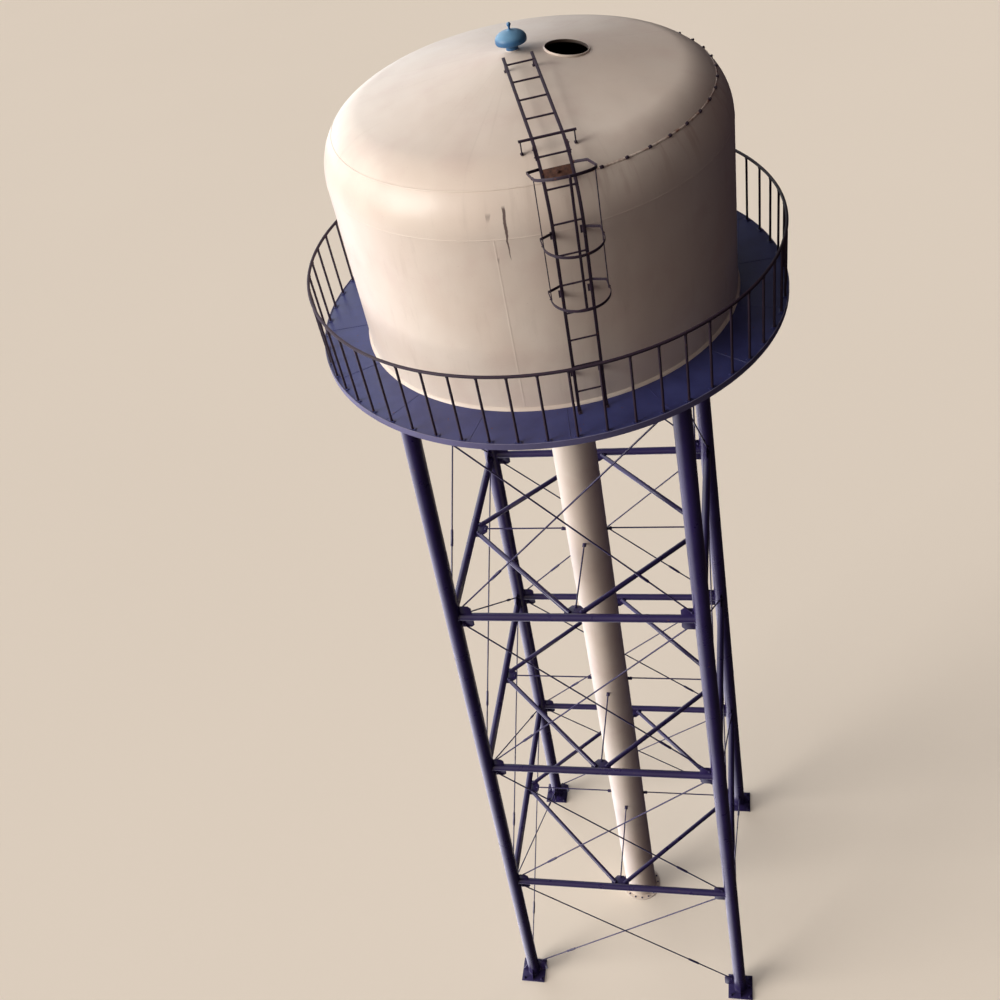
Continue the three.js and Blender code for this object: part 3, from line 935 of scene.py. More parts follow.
@dataclass(frozen=True)
class SteelPaint:
    """Satin paint on structural steel, paler where it faces up (partly chalking, partly a painted top
    highlight), with small rust spots.
    """

    name: str
    base: Colour
    # Colour of the paler upward faces: chalking of the paint and a painted top highlight.
    chalk_and_sheen: Colour
    rust: Colour = (0.14, 0.055, 0.035, 1)
    upward_chalk_and_sheen: float = 0.5
    least_chalk: float = 0.08
    skyward: Point = (0.1, 0.9)
    dimming: float = 0.72
    tones: Patches = Patches(1.3, 5.0, 0.3, 0.7)
    wear: Patches = Patches(3.0, 6.0, 0.2, 0.8, 0.5)
    least_wear: float = 0.5
    spots: Patches = Patches(21.0, 6.0, 0.66, 0.74)
    spot_cover: float = 0.8
    spot_depth: float = 0.0006
    roughness: float = 0.38
    wear_dulls: float = 0.22
    rust_dulls: float = 0.25
    specular: float = 0.35
    brush: Relief = Relief(60.0, 3.0, 0.0008)
    brush_stretch: Size = (1, 1, 0.3)

    def make(self) -> Material:
        """Build the material.

        Returns:
            The material.
        """
        bench = Bench(self.name, self.specular)
        colour = bench.mix(bench.patches(self.tones), self.base, dimmed(self.base, self.dimming))
        # Upward faces turn paler: partly chalking, partly a painted highlight where tops catch the
        # light.
        up_sheen_and_chalk = bench.rises(bench.facing_up(), *self.skyward)
        worn = bench.calc("ADD", bench.patches(self.wear), self.least_wear)
        chalk_and_sheen_share = bench.product(bench.graded(up_sheen_and_chalk, self.upward_chalk_and_sheen, self.least_chalk), worn)
        colour = bench.mix(chalk_and_sheen_share, colour, self.chalk_and_sheen)
        spots = bench.patches(self.spots)
        colour = bench.mix(bench.product(spots, self.spot_cover), colour, self.rust)
        rough = bench.graded(worn, self.wear_dulls, self.roughness)
        rough = bench.graded(spots, self.rust_dulls, rough)
        brushed = bench.relief(self.brush, where=bench.stretched(self.brush_stretch))
        return bench.done(colour, rough, bench.bump(spots, self.spot_depth, brushed))


@dataclass(frozen=True)
class RustySteel:
    """Bare plate with an even brown rust in fine layers."""

    dark: Colour = (0.055, 0.026, 0.022, 1)
    bright: Colour = (0.16, 0.070, 0.045, 1)
    dust: Colour = (0.24, 0.15, 0.12, 1)
    tones: Patches = Patches(24.0, 8.0, 0.3, 0.7)
    dusting: Patches = Patches(9.0, 6.0, 0.5, 0.8, 0.6)
    roughness: float = 0.85
    layers: Relief = Relief(90.0, 6.0, 0.0012)

    def make(self) -> Material:
        """Build the material.

        Returns:
            The material.
        """
        bench = Bench("rusty_steel")
        colour = bench.mix(bench.patches(self.tones), self.dark, self.bright)
        colour = bench.mix(bench.patches(self.dusting), colour, self.dust)
        return bench.done(colour, self.roughness, bench.relief(self.layers))


@dataclass(frozen=True)
class TankLining:
    """Dark coating inside the tank and the riser, with tide marks from the water."""

    coat: Colour = (0.035, 0.030, 0.032, 1)
    tide: Colour = (0.11, 0.075, 0.055, 1)
    bands: Patches = Patches(3.0, 3.0, 0.45, 0.65)
    band_stretch: Size = (0.1, 0.1, 2.2)
    roughness: float = 0.6
    grain: Relief = Relief(40.0, 4.0, 0.002)

    def make(self) -> Material:
        """Build the material.

        Returns:
            The material.
        """
        bench = Bench("tank_lining")
        bands = bench.patches(self.bands, bench.stretched(self.band_stretch))
        colour = bench.mix(bands, self.coat, self.tide)
        return bench.done(colour, self.roughness, bench.relief(self.grain))


@dataclass(frozen=True)
class StudioFloor:
    """Plain pale floor with a faint glow of its own, because the key light only grazes it."""

    tone: Colour = (0.80, 0.71, 0.60, 1)
    strength: float = 0.16
    dimming: float = 0.95
    cloud_scale: float = 0.05
    cloud_detail: float = 2.0
    roughness: float = 0.9
    grain: Relief = Relief(4.0, 4.0, 0.002)

    def make(self) -> Material:
        """Build the material.

        Returns:
            The material.
        """
        bench = Bench("studio_floor", 0.0)
        share = bench.clouds(self.cloud_scale, self.cloud_detail)
        colour = bench.mix(share, self.tone, dimmed(self.tone, self.dimming))
        bench.glow(self.tone, self.strength)
        return bench.done(colour, self.roughness, bench.relief(self.grain))


class Finish(Enum):
    """Finishes of the tower's pieces: the record's slot and how to make the material."""

    CREAM = (Slot.CREAM, CreamPaint())
    BLUE = (
        Slot.BLUE,
        SteelPaint(
            "blue_paint",
            (0.027, 0.017, 0.090, 1),
            (0.060, 0.050, 0.150, 1),
            upward_chalk_and_sheen=0.10,
            roughness=0.14,
            specular=0.6,
        ),
    )
    # The deck faces up, so much of it takes the pale colour: partly chalking, partly a painted sheen of
    # light on the floor.
    FLOOR = (
        Slot.BLUE,
        SteelPaint(
            "blue_floor",
            (0.022, 0.023, 0.115, 1),
            (0.080, 0.095, 0.280, 1),
            roughness=0.22,
            specular=0.5,
        ),
    )
    # Pale edge angle: mostly a painted highlight along the balcony's rim, partly chalking.
    EDGE = (
        Slot.BLUE,
        SteelPaint("blue_edge_painted_highlight", (0.13, 0.12, 0.25, 1), (0.30, 0.29, 0.42, 1), upward_chalk_and_sheen=0.6),
    )
    DARK = (
        Slot.DARK,
        SteelPaint(
            "dark_paint",
            (0.026, 0.013, 0.028, 1),
            (0.085, 0.055, 0.085, 1),
            upward_chalk_and_sheen=0.30,
            spots=Patches(21.0, 6.0, 0.64, 0.72),
            roughness=0.42,
        ),
    )
    # The pale blue on the cap's upward faces is partly chalking and partly a painted highlight.
    CAP = (
        Slot.CAP,
        SteelPaint("cap_paint", (0.030, 0.130, 0.310, 1), (0.28, 0.52, 0.70, 1), roughness=0.22),
    )
    RUST = (Slot.RUST, RustySteel())
    LINING = (Slot.CREAM, TankLining())


class Paintshop:
    """Makes each material once and turns shapes into finished pieces."""

    def __init__(self) -> None:
        """Make all the materials."""
        self.materials = {finish: finish.value[1].make() for finish in Finish}

    def piece(self, name: str, shape: BMesh, finish: Finish, stands_for: Sequence[str] = ()) -> Object:
        """Turn a shape into a piece of the tower.

        Args:
            name: Name of the piece.
            shape: Its mesh, which is freed.
            finish: Its finish.
            stands_for: Nodes that it replaces.

        Returns:
            The new object.
        """
        mesh = new_mesh(name, shape)
        mesh.shade_smooth()
        mesh.set_sharp_from_angle(angle=SHARP)
        mesh.materials.append(self.materials[finish])
        made = show(mesh)
        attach(made, BODY)
        if stands_for:
            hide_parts(*stands_for)
        LOG.info("%s: %d faces", name, len(mesh.polygons))
        return made

    def line_inside(self, piece: Object, middle: Callable[[Vector], Vector], least: float = 0.0) -> None:
        """Give the faces that look towards the middle of a shell the dark lining.

        Args:
            piece: The shell.
            middle: Gives the middle that a place on the shell looks at.
            least: How clearly a face has to look there.
        """
        piece.data.materials.append(self.materials[Finish.LINING])
        for face in piece.data.polygons:
            if face.normal.dot(middle(face.center) - face.center) > least:
                face.material_index = 1


# Trestle


@dataclass
class Columns:
    """Four leaning tubes on base plates."""

    shop: Paintshop
    sides: int = 48
    foot_sunk: float = 0.006
    head_past: float = 0.1
    bowl_around: int = 96
    bowl_steps: int = 32
    girth_welds: tuple[float, ...] = (5.9, 11.9)
    girth_bead: Bead = Bead(0.022, 0.0035)
    toe_bead: Bead = Bead(0.03, 0.016)
    base_size: float = 0.56
    fin_height: float = 0.26
    fin_toe: float = 0.04
    fin_inset: float = 0.02
    fin_root: float = 0.02
    fin_sunk: float = 0.004
    fin_top: float = 0.01
    anchor_out: float = 0.215
    anchor: Bolt = Bolt(0.018, 0.045)

    def tube(self, corner: Corner, radius: float) -> BMesh:
        """One column as a plain round bar, from its base plate to past the balcony."""
        low, high = TOWER.base_t - self.foot_sunk, TOWER.deck_z + self.head_past
        return rod(*(TOWER.corner(*corner.value, z) for z in (low, high)), radius, self.sides)

    def all_tubes(self, radius: float) -> BMesh:
        """The four columns in one mesh.

        Args:
            radius: Radius of each.

        Returns:
            A new mesh.
        """
        form = Form()
        for corner in Corner:
            form.take(self.tube(corner, radius))
        return form.mesh

    def space_above(self) -> BMesh:
        """What the columns end against: the tank's bowl and wall, and the balcony's floor.

        Returns:
            A new mesh.
        """
        under, above = TOWER.deck_z - TOWER.deck_t, TOWER.deck_z + 1
        wall = TOWER.tank_r + TOWER.fit
        top = [(wall, under), (TOWER.deck_r, under), (TOWER.deck_r, above), (0, above)]
        bowl = TOWER.bowl(TOWER.fit, 0.0, self.bowl_steps)
        return lathe([*bowl, *top], self.bowl_around, closed=False)

    def weld_rings(self, corner: Corner) -> BMesh:
        """Girth welds of one column, and the weld at its foot.

        Args:
            corner: The column.

        Returns:
            A new mesh.
        """
        axis = TOWER.corner(*corner.value, TOWER.deck_z) - TOWER.corner(*corner.value, 0)
        places = [facing(TOWER.corner(*corner.value, z), axis) for z in self.girth_welds]
        foot = facing(TOWER.corner(*corner.value, TOWER.base_t), UP)
        form = Form()
        for weld, where in ((self.girth_bead, places), (self.toe_bead, [foot])):
            form.take(lathe(weld.outline((TOWER.column_r, 0)), self.sides), where)
        return form.mesh

    def base(self, corner: Corner) -> BMesh:
        """Base plate with two fins and four anchor bolts.

        Args:
            corner: The column that stands on it.

        Returns:
            A new mesh.
        """
        x_sign, y_sign = corner.value
        here = Matrix.Translation(TOWER.corner(x_sign, y_sign, 0).xy.to_3d())
        size, top = self.base_size, TOWER.base_t
        form = Form().take(brick((size, size, top), (0, 0, top / 2), EASE_THICK), [here])
        inner, reach = TOWER.column_r - self.fin_root, size / 2 - self.fin_inset
        outline = [
            (inner, top - self.fin_sunk),
            (reach, top - self.fin_sunk),
            (reach, top + self.fin_toe),
            (TOWER.column_r + self.fin_top, top + self.fin_height),
            (inner, top + self.fin_height),
        ]
        azimuths = (math.atan2(0, x_sign), math.atan2(y_sign, 0))
        form.take(slab(outline, TOWER.gusset_t), [here @ upright(azimuth) for azimuth in azimuths])
        out = self.anchor_out
        seats = [Matrix.Translation((out * i, out * j, top)) for i in ENDS for j in ENDS]
        return form.take(self.anchor.shape(), [here @ seat for seat in seats]).mesh

    def make(self) -> None:
        """Make the pieces."""
        for corner in Corner:
            name = corner.name.lower()
            tube = carved(self.tube(corner, TOWER.column_r), self.space_above())
            self.shop.piece(f"column_tube_{name}", tube, Finish.BLUE, [f"column_{name}"])
            self.shop.piece(f"column_welds_{name}", self.weld_rings(corner), Finish.BLUE)
            self.shop.piece(f"foot_{name}", self.base(corner), Finish.BLUE, [f"base_plate_{name}"])


@dataclass
class SwayBracing:
    """Crossed rods between gusset plates on each face of the trestle."""

    shop: Paintshop
    rod_r: float = 0.014
    rod_sides: int = 14
    rod_gap: float = 0.001
    foot_z: float = 0.33
    top_z: float = 17.33
    reach: float = 0.21
    root: float = 0.004
    chamfer: float = 0.05
    half_height: float = 0.25
    end_half_height: float = 0.20
    pin_out: float = 0.24
    eye_r: float = 0.030
    eye_half: float = 0.013
    eye_sides: int = 20
    pin: Bolt = Bolt(0.011, 0.008)
    turnbuckle_at: float = 1.1
    turnbuckle_length: float = 0.24
    turnbuckle_r: float = 0.026
    turnbuckle_sides: int = 8
    turnbuckle_ease: float = 0.005
    nut_r: float = 0.024
    nut_length: float = 0.024

    @property
    def tilt(self) -> float:
        """Lean of a face of the trestle."""
        return math.atan2(TOWER.foot_half - TOWER.deck_half, TOWER.deck_z)

    @property
    def heights(self) -> list[float]:
        """Heights at which rods meet the columns."""
        return [self.foot_z, *TOWER.levels, self.top_z]

    def gusset(self, side: int, z: float) -> BMesh:
        """One gusset plate of the front face, welded to its column.

        Args:
            side: -1 for the left column, 1 for the right one.
            z: Height of its middle.

        Returns:
            A new mesh.
        """
        half = TOWER.half_spread(z)
        high = self.end_half_height if z in (self.foot_z, self.top_z) else self.half_height
        lean = math.tan(self.tilt)
        outer = half - TOWER.column_r + self.root
        inner = outer - self.reach - self.root
        outline = [
            (side * (outer + high * lean), -high),
            (side * (inner + self.chamfer), -high),
            (side * inner, self.chamfer - high),
            (side * inner, high - self.chamfer),
            (side * (inner + self.chamfer), high),
            (side * (outer - high * lean), high),
        ]
        shape = slab(outline, TOWER.gusset_t)
        stand = Matrix.Translation((0, -half, z)) @ Matrix.Rotation(math.pi / 2 - self.tilt, 4, "X")
        bmesh.ops.transform(shape, matrix=stand, verts=shape.verts)
        return shape

    def line(self, low: float, high: float, side: int) -> tuple[Vector, Vector, Vector]:
        """Ends and normal of one rod of the front face.

        Args:
            low: Height of its lower end.
            high: Height of its upper end.
            side: -1 where its lower end is on the left, 1 on the right.

        Returns:
            Lower eye, upper eye and the face's outward normal.
        """
        start = TOWER.corner(side, -1, low)
        end = TOWER.corner(-side, -1, high)
        along = (end - start).normalized()
        out = Vector((0, -math.cos(self.tilt), math.sin(self.tilt)))
        beside = out * side * (TOWER.gusset_t / 2 + self.rod_r + self.rod_gap)
        return start + along * self.pin_out + beside, end - along * self.pin_out + beside, out

    def rod_with_ends(self, low: float, high: float, side: int) -> BMesh:
        """One rod with an eye and a pin at each end and a turnbuckle near its foot.

        Args:
            low: Height of its lower end.
            high: Height of its upper end.
            side: -1 where its lower end is on the left, 1 on the right.

        Returns:
            A new mesh.
        """
        first, last, out = self.line(low, high, side)
        along = (last - first).normalized()
        form = Form().take(rod(first, last, self.rod_r, self.rod_sides))
        for eye in (first, last):
            form.take(disc(eye, out * self.eye_half, self.eye_r, self.eye_sides))
            form.take(*self.pin.at(eye + out * side * self.eye_half, out * side))
        middle = first + along * self.turnbuckle_at
        half = along * self.turnbuckle_length / 2
        sleeve = rod(middle - half, middle + half, self.turnbuckle_r, self.turnbuckle_sides)
        form.take(round_off(sleeve, self.turnbuckle_ease))
        for end in ENDS:
            start = middle + half * end
            nut = rod(start, start + along * end * self.nut_length, self.nut_r, HEX)
            form.take(round_off(nut, EASE_THICK, 1))
        return form.mesh

    def make(self) -> None:
        """Make one lattice for each face."""
        for side in Side:
            plates, rods = Form(), Form()
            for z in self.heights:
                for column in ENDS:
                    plates.take(self.gusset(column, z), [side.turned])
            for low, high in zip(self.heights, self.heights[1:]):
                for column in ENDS:
                    rods.take(self.rod_with_ends(low, high, column), [side.turned])
            for stem, form in (("gusset_plates", plates), ("rods", rods)):
                face = side.name.lower()
                self.shop.piece(f"{stem}_{face}", form.mesh, Finish.BLUE, [f"sway_rods_{face}"])


@dataclass
class Struts:
    """Horizontal tubes between the columns at three levels."""

    shop: Paintshop
    columns: Columns
    sides: int = 32
    root: float = 0.002
    collar: float = 0.009
    collar_ends: Point = (0.11, 0.2)

    def tube(self, z: float) -> BMesh:
        """Strut of the front face, from one column's axis to the other's."""
        return rod(TOWER.corner(-1, -1, z), TOWER.corner(1, -1, z), TOWER.strut_r, self.sides)

    def welds(self) -> BMesh:
        """Saddle welds where the struts meet the columns.

        Returns:
            A new mesh.
        """
        form = Form()
        for z in TOWER.levels:
            for end in ENDS:
                corner = TOWER.corner(end, -1, z)
                reach = [corner - OUT * end * along for along in self.collar_ends]
                collar = rod(*reach, TOWER.strut_r + self.collar, self.sides)
                form.take(collar, [side.turned for side in Side])
        return carved(form.mesh, self.columns.all_tubes(TOWER.column_r + self.collar), Keep.INSIDE)

    def make(self) -> None:
        """Make the pieces."""
        for i, z in enumerate(TOWER.levels):
            level = len(TOWER.levels) - i
            for side in Side:
                tube = Form().take(self.tube(z), [side.turned]).mesh
                tube = carved(tube, self.columns.all_tubes(TOWER.column_r - self.root))
                node = f"strut_{side.name.lower()}_{level}"
                self.shop.piece(f"{node}_tube", tube, Finish.BLUE, [node])
        self.shop.piece("strut_welds", self.welds(), Finish.BLUE)


@dataclass
class PlanBracing:
    """A flat diamond of tubes at each level, with ties to lugs at the riser."""

    shop: Paintshop
    brace_r: float = 0.0445
    brace_sides: int = 24
    brace_ease: float = 0.004
    plate_half: float = 0.19
    plate_reach: float = 0.21
    plate_shoulder: float = 0.09
    plate_tip: float = 0.07
    seat: float = 0.015
    end_gap: float = 0.13
    bolts_out: Point = (0.155, 0.215)
    bolt: Bolt = Bolt(0.009, 0.006)
    tie_r: float = 0.014
    tie_sides: int = 12
    tie_lift: float = 0.02
    tie_inset: float = 0.03
    eye_r: float = 0.028
    eye_half: float = 0.011
    eye_sides: int = 16
    pin: Bolt = Bolt(0.010, 0.006)
    lug_size: Size = (0.07, 0.09, 0.012)
    sunk: float = 0.004

    def quarter(self, z: float) -> BMesh:
        """Mid plate, tube and tie that start at the middle of the front strut.

        Args:
            z: Height of the strut.

        Returns:
            A new mesh.
        """
        half = TOWER.half_spread(z)
        wide, tip, deep = self.plate_half, self.plate_tip, self.plate_reach
        near = TOWER.strut_r - self.seat
        side = [(wide, 0), (wide, self.plate_shoulder), (tip, deep)]
        outline = [(-wide, 0), *side, *((-x, y) for x, y in side[:0:-1])]
        form = Form().take(slab(outline, TOWER.gusset_t), [Matrix.Translation((0, near - half, z))])
        middle, end = Vector((0, -half, z)), Vector((half, 0, z))
        along = (end - middle).normalized()
        first, last = middle + along * self.end_gap, end - along * self.end_gap
        form.take(round_off(rod(first, last, self.brace_r, self.brace_sides), self.brace_ease))
        for corner, step in ((middle, along), (end, -along)):
            for out in self.bolts_out:
                form.take(*self.bolt.at(corner + step * out + UP * (self.brace_r - self.sunk), UP))
        wide, long, _ = self.lug_size
        lug = Vector((0, -TOWER.riser_r - long + self.tie_inset, z + self.tie_lift))
        pin = Vector((0, near - half + deep - self.tie_inset, z + self.tie_lift))
        form.take(rod(pin, lug, self.tie_r, self.tie_sides))
        for eye in (pin, lug):
            form.take(disc(eye, UP * self.eye_half, self.eye_r, self.eye_sides))
            form.take(*self.pin.at(eye + UP * self.eye_half, UP))
        form.take(brick(self.lug_size, (0, -TOWER.riser_r - long / 2, z + self.sunk)))
        return form.mesh

    def make(self) -> None:
        """Make the pieces."""
        for i, z in enumerate(TOWER.levels):
            form = Form().take(self.quarter(z), [side.turned for side in Side])
            node = f"plan_bracing_{len(TOWER.levels) - i}"
            self.shop.piece(f"{node}_tubes", form.mesh, Finish.BLUE, [node])


# Riser and tank


@dataclass
class Riser:
    """Central pipe between the ground and the tank."""

    shop: Paintshop
    around: int = 96
    flange_r: float = 0.48
    flange_t: float = 0.025
    fillet: float = 0.012
    head_sunk: float = 0.004
    course: float = 2.44
    weld_half: float = 0.020
    weld_toe: float = 0.010
    weld_crown: float = 0.004
    weld_height: float = 0.0025
    flange_bolts: int = 16
    bolts_from: float = 0.1
    bolt: Bolt = Bolt(0.011, 0.014)
    least_inward: float = 0.01

    def make(self) -> None:
        """Make the pieces."""
        inner, outer = TOWER.riser_r - TOWER.riser_wall, TOWER.riser_r
        top = TOWER.bowl(0.0, inner, 1)[0][1] + self.head_sunk
        outline = [
            (inner, 0.0),
            (self.flange_r, 0.0),
            (self.flange_r, self.flange_t - EASE_THICK),
            (self.flange_r - EASE_THICK, self.flange_t),
            (outer + self.fillet, self.flange_t),
            (outer, self.flange_t + self.fillet),
        ]
        proud = outer + self.weld_height
        rise = [(outer, self.weld_half), (outer, self.weld_toe), (proud, self.weld_crown)]
        for course in range(1, int(top / self.course) + 1):
            z = course * self.course
            outline += [(radius, z - off) for radius, off in rise]
            outline += [(radius, z + off) for radius, off in reversed(rise)]
        outline += [(outer, top), (inner, top)]
        pipe = self.shop.piece("riser", lathe(outline, self.around), Finish.CREAM, ["riser_pipe"])
        self.shop.line_inside(pipe, lambda place: UP * place.z, self.least_inward)
        seat = Matrix.Translation(((self.flange_r + outer) / 2, 0, self.flange_t))
        places = [turn @ seat for turn in spun(self.flange_bolts, self.bolts_from)]
        self.shop.piece("riser_flange_bolts", Form().take(self.bolt.shape(), places).mesh, Finish.BLUE)


@dataclass
class Tank:
    """Steel shell: bowl, wall, shoulder and roof, with their seams and fittings."""

    shop: Paintshop
    around: int = 192
    waves: Waves = Waves()
    bowl_steps: int = 28
    wall_rows: int = 14
    shoulder_steps: int = 14
    roof_hole_r: float = 0.04
    coarse_rings: tuple[float, ...] = (2.0, 1.8, 1.6, 1.4, 1.2)
    fine_rings: tuple[float, ...] = (1.1, 1.0, 0.9, 0.8, 0.7, 0.6, 0.5, 0.4, 0.3, 0.2, 0.1)
    manhole_r: float = 0.28
    manhole_out: float = 0.685
    manhole_azimuth: float = math.radians(13)
    cut_gap: float = 0.004
    cut_half: float = 0.3
    cut_sides: int = 64
    rim_around: int = 72
    rim_height: float = 0.014
    rim_sunk: float = 0.02
    rim_bead: Bead = Bead(0.02, 0.005)
    wall_bead: Bead = Bead(0.016, 0.003)
    seam_bead: Bead = Bead(0.026, 0.007)
    weld_cuts: int = 13
    weld_sides: int = 8
    weld_size: Point = (0.0012, 0.013)
    ring_gap: float = 0.0005
    ring_out: float = 0.034
    ring_height: float = 0.040
    ring_root: float = 0.006
    ring_lip: Point = (0.004, 0.010)
    lugs: int = 25
    lug_pitch: float = math.radians(7.5)
    lug_azimuth: float = math.radians(-67.5)
    lug_size: Size = (0.036, 0.048, 0.014)
    lug_sunk: float = 0.002
    lug_bolt: Bolt = Bolt(0.010, 0.004)

    def in_tank(self, _: Vector) -> Vector:
        """A point inside the tank, at which all of its inner faces look."""
        return Vector((0, 0, (TOWER.wall_bottom_z + TOWER.wall_top_z) / 2))

    def shell(self, name: str, outer: list[Point], inner: list[Point], nodes: list[str]) -> None:
        """Make one shell, cream outside and lined inside, from outlines of its two faces."""
        shape = self.waves.press(lathe([*outer, *reversed(inner)], self.around))
        self.shop.line_inside(self.shop.piece(name, shape, Finish.CREAM, nodes), self.in_tank)

    def bowl(self) -> None:
        """Elliptical bottom with the riser's hole."""
        hole = TOWER.riser_r - TOWER.riser_wall
        faces = (TOWER.bowl(grow, hole, self.bowl_steps) for grow in (0.0, -TOWER.plate))
        self.shell("tank_bowl", *faces, ["tank_bottom"])

    def wall(self) -> None:
        """Straight wall, from its lap on the bowl to the shoulder."""
        low, high = TOWER.wall_bottom_z, TOWER.wall_top_z - TOWER.fit
        heights = [low + (high - low) * i / self.wall_rows for i in range(self.wall_rows + 1)]
        faces = ([(TOWER.tank_r - inset, z) for z in heights] for inset in (0.0, TOWER.plate))
        self.shell("tank_shell", *faces, quartered("tank_wall"))

    def shoulder(self) -> None:
        """Round knuckle up to the seam."""
        span = (0.0, TOWER.seam_angle, self.shoulder_steps)
        faces = (TOWER.shoulder(offset, *span) for offset in (0.0, -TOWER.plate))
        self.shell("tank_knuckle", *faces, ["tank_shoulder"])

    def at_manhole(self) -> Matrix:
        """Find the place of the manhole on the roof's slope.

        Returns:
            The place.
        """
        place = Matrix.Translation((self.manhole_out, 0, TOWER.roof_z(self.manhole_out)))
        lean = Matrix.Rotation(TOWER.roof_slope, 4, "Y")
        return Matrix.Rotation(self.manhole_azimuth, 4, "Z") @ place @ lean

    def roof_face(self, offset: float) -> list[Point]:
        """Outline of one face of the roof, from the seam to under the vent.

        Args:
            offset: Distance outside the roof's outer face.

        Returns:
            The outline.
        """
        first = TOWER.seam_angle + TOWER.fit / TOWER.shoulder_r
        rings = (*self.coarse_rings, *self.fine_rings, self.roof_hole_r)
        cone = [(radius, TOWER.roof_z(radius, offset)) for radius in rings]
        return [*TOWER.shoulder(offset, first, TOWER.roof_tangent, self.shoulder_steps), *cone]

    def roof(self) -> None:
        """Upper knuckle and low cone, with the open manhole."""
        inner = reversed(self.roof_face(-TOWER.plate))
        shape = lathe([*inner, *self.roof_face(0.0)], self.around)
        bmesh.ops.remove_doubles(shape, verts=shape.verts, dist=MERGE)
        self.waves.press(shape)
        half = UP * self.cut_half
        hole = rod(-half, half, self.manhole_r + self.cut_gap, self.cut_sides)
        bmesh.ops.transform(hole, matrix=self.at_manhole(), verts=hole.verts)
        piece = self.shop.piece("roof_shell", carved(shape, hole), Finish.CREAM, ["roof"])
        self.shop.line_inside(piece, self.in_tank)

    def rim(self) -> None:
        """Short neck around the manhole."""
        inner, outer, high = self.manhole_r, self.manhole_r + TOWER.plate, self.rim_height
        outline = [
            (inner, -self.rim_sunk),
            (outer, -self.rim_sunk),
            (outer, 0.0),
            (outer, high - EASE_THICK),
            (outer - EASE_THICK, high),
            (inner + EASE_THICK, high),
            (inner, high - EASE_THICK),
        ]
        form, here = Form(), self.at_manhole()
        for ring in (outline, self.rim_bead.outline((outer, 0.0), math.pi / 4)):
            form.take(lathe(ring, self.rim_around), [here])
        piece = self.shop.piece("manhole_rim", form.mesh, Finish.CREAM)
        self.shop.line_inside(piece, lambda _: here.translation)

    def upright_weld(self) -> BMesh:
        """Flat weld bead up the wall, in steps short enough to follow the plate's waves.

        Returns:
            A new mesh.
        """
        shape = rod(UP * TOWER.deck_z, UP * TOWER.wall_top_z, 1.0, self.weld_sides)
        upright_edges = [edge for edge in shape.edges if edge.verts[0].co.z != edge.verts[1].co.z]
        bmesh.ops.subdivide_edges(shape, edges=upright_edges, cuts=self.weld_cuts, use_grid_fill=True)
        flat = Matrix.Translation((TOWER.tank_r, 0, 0)) @ Matrix.Diagonal((*self.weld_size, 1.0, 1.0))
        bmesh.ops.transform(shape, matrix=flat, verts=shape.verts)
        return shape

    def seams(self) -> None:
        """Weld beads between the plates, and the base ring at the foot of the wall."""
        wall = self.wall_bead.outline((TOWER.tank_r, TOWER.wall_top_z))
        seam = self.seam_bead.outline(TOWER.on_shoulder(TOWER.seam_angle), TOWER.seam_angle)
        form = Form().take(lathe(wall, self.around)).take(lathe(seam, self.around))
        form.take(self.upright_weld(), spun(4))
        self.shop.piece("tank_seams", self.waves.press(form.mesh), Finish.CREAM)
        edge, deck = TOWER.tank_r, TOWER.deck_z + self.ring_gap
        top, (slope, lip) = deck + self.ring_height, self.ring_lip
        ring = [
            (edge - self.ring_root, deck),
            (edge + self.ring_out, deck),
            (edge + self.ring_out - slope, deck + lip),
            (edge + lip, top - self.ring_root),
            (edge, top),
            (edge - self.ring_root, top),
        ]
        self.shop.piece("tank_base_ring", lathe(ring, self.around), Finish.CREAM)

    def seam_lugs(self) -> None:
        """Small bolted clips, evenly spaced along the seam from the ladder around to the back."""
        radius, height = TOWER.on_shoulder(TOWER.seam_angle)
        lean = Matrix.Rotation(math.pi / 2 - TOWER.seam_angle, 4, "Y")
        seat = Matrix.Translation((radius, 0, height)) @ lean
        azimuths = [self.lug_azimuth + self.lug_pitch * i for i in range(self.lugs)]
        places = [Matrix.Rotation(azimuth, 4, "Z") @ seat for azimuth in azimuths]
        thick = self.lug_size[2]
        clip = brick(self.lug_size, (0, 0, thick / 2 - self.lug_sunk), EASE_THICK)
        top = Matrix.Translation((0, 0, thick - self.lug_sunk))
        form = Form().take(clip, places).take(self.lug_bolt.shape(), [place @ top for place in places])
        self.shop.piece("seam_lugs", form.mesh, Finish.DARK)

    def make(self) -> None:
        """Make the pieces."""
        self.bowl()
        self.wall()
        self.shoulder()
        self.roof()
        self.rim()
        self.seams()
        self.seam_lugs()


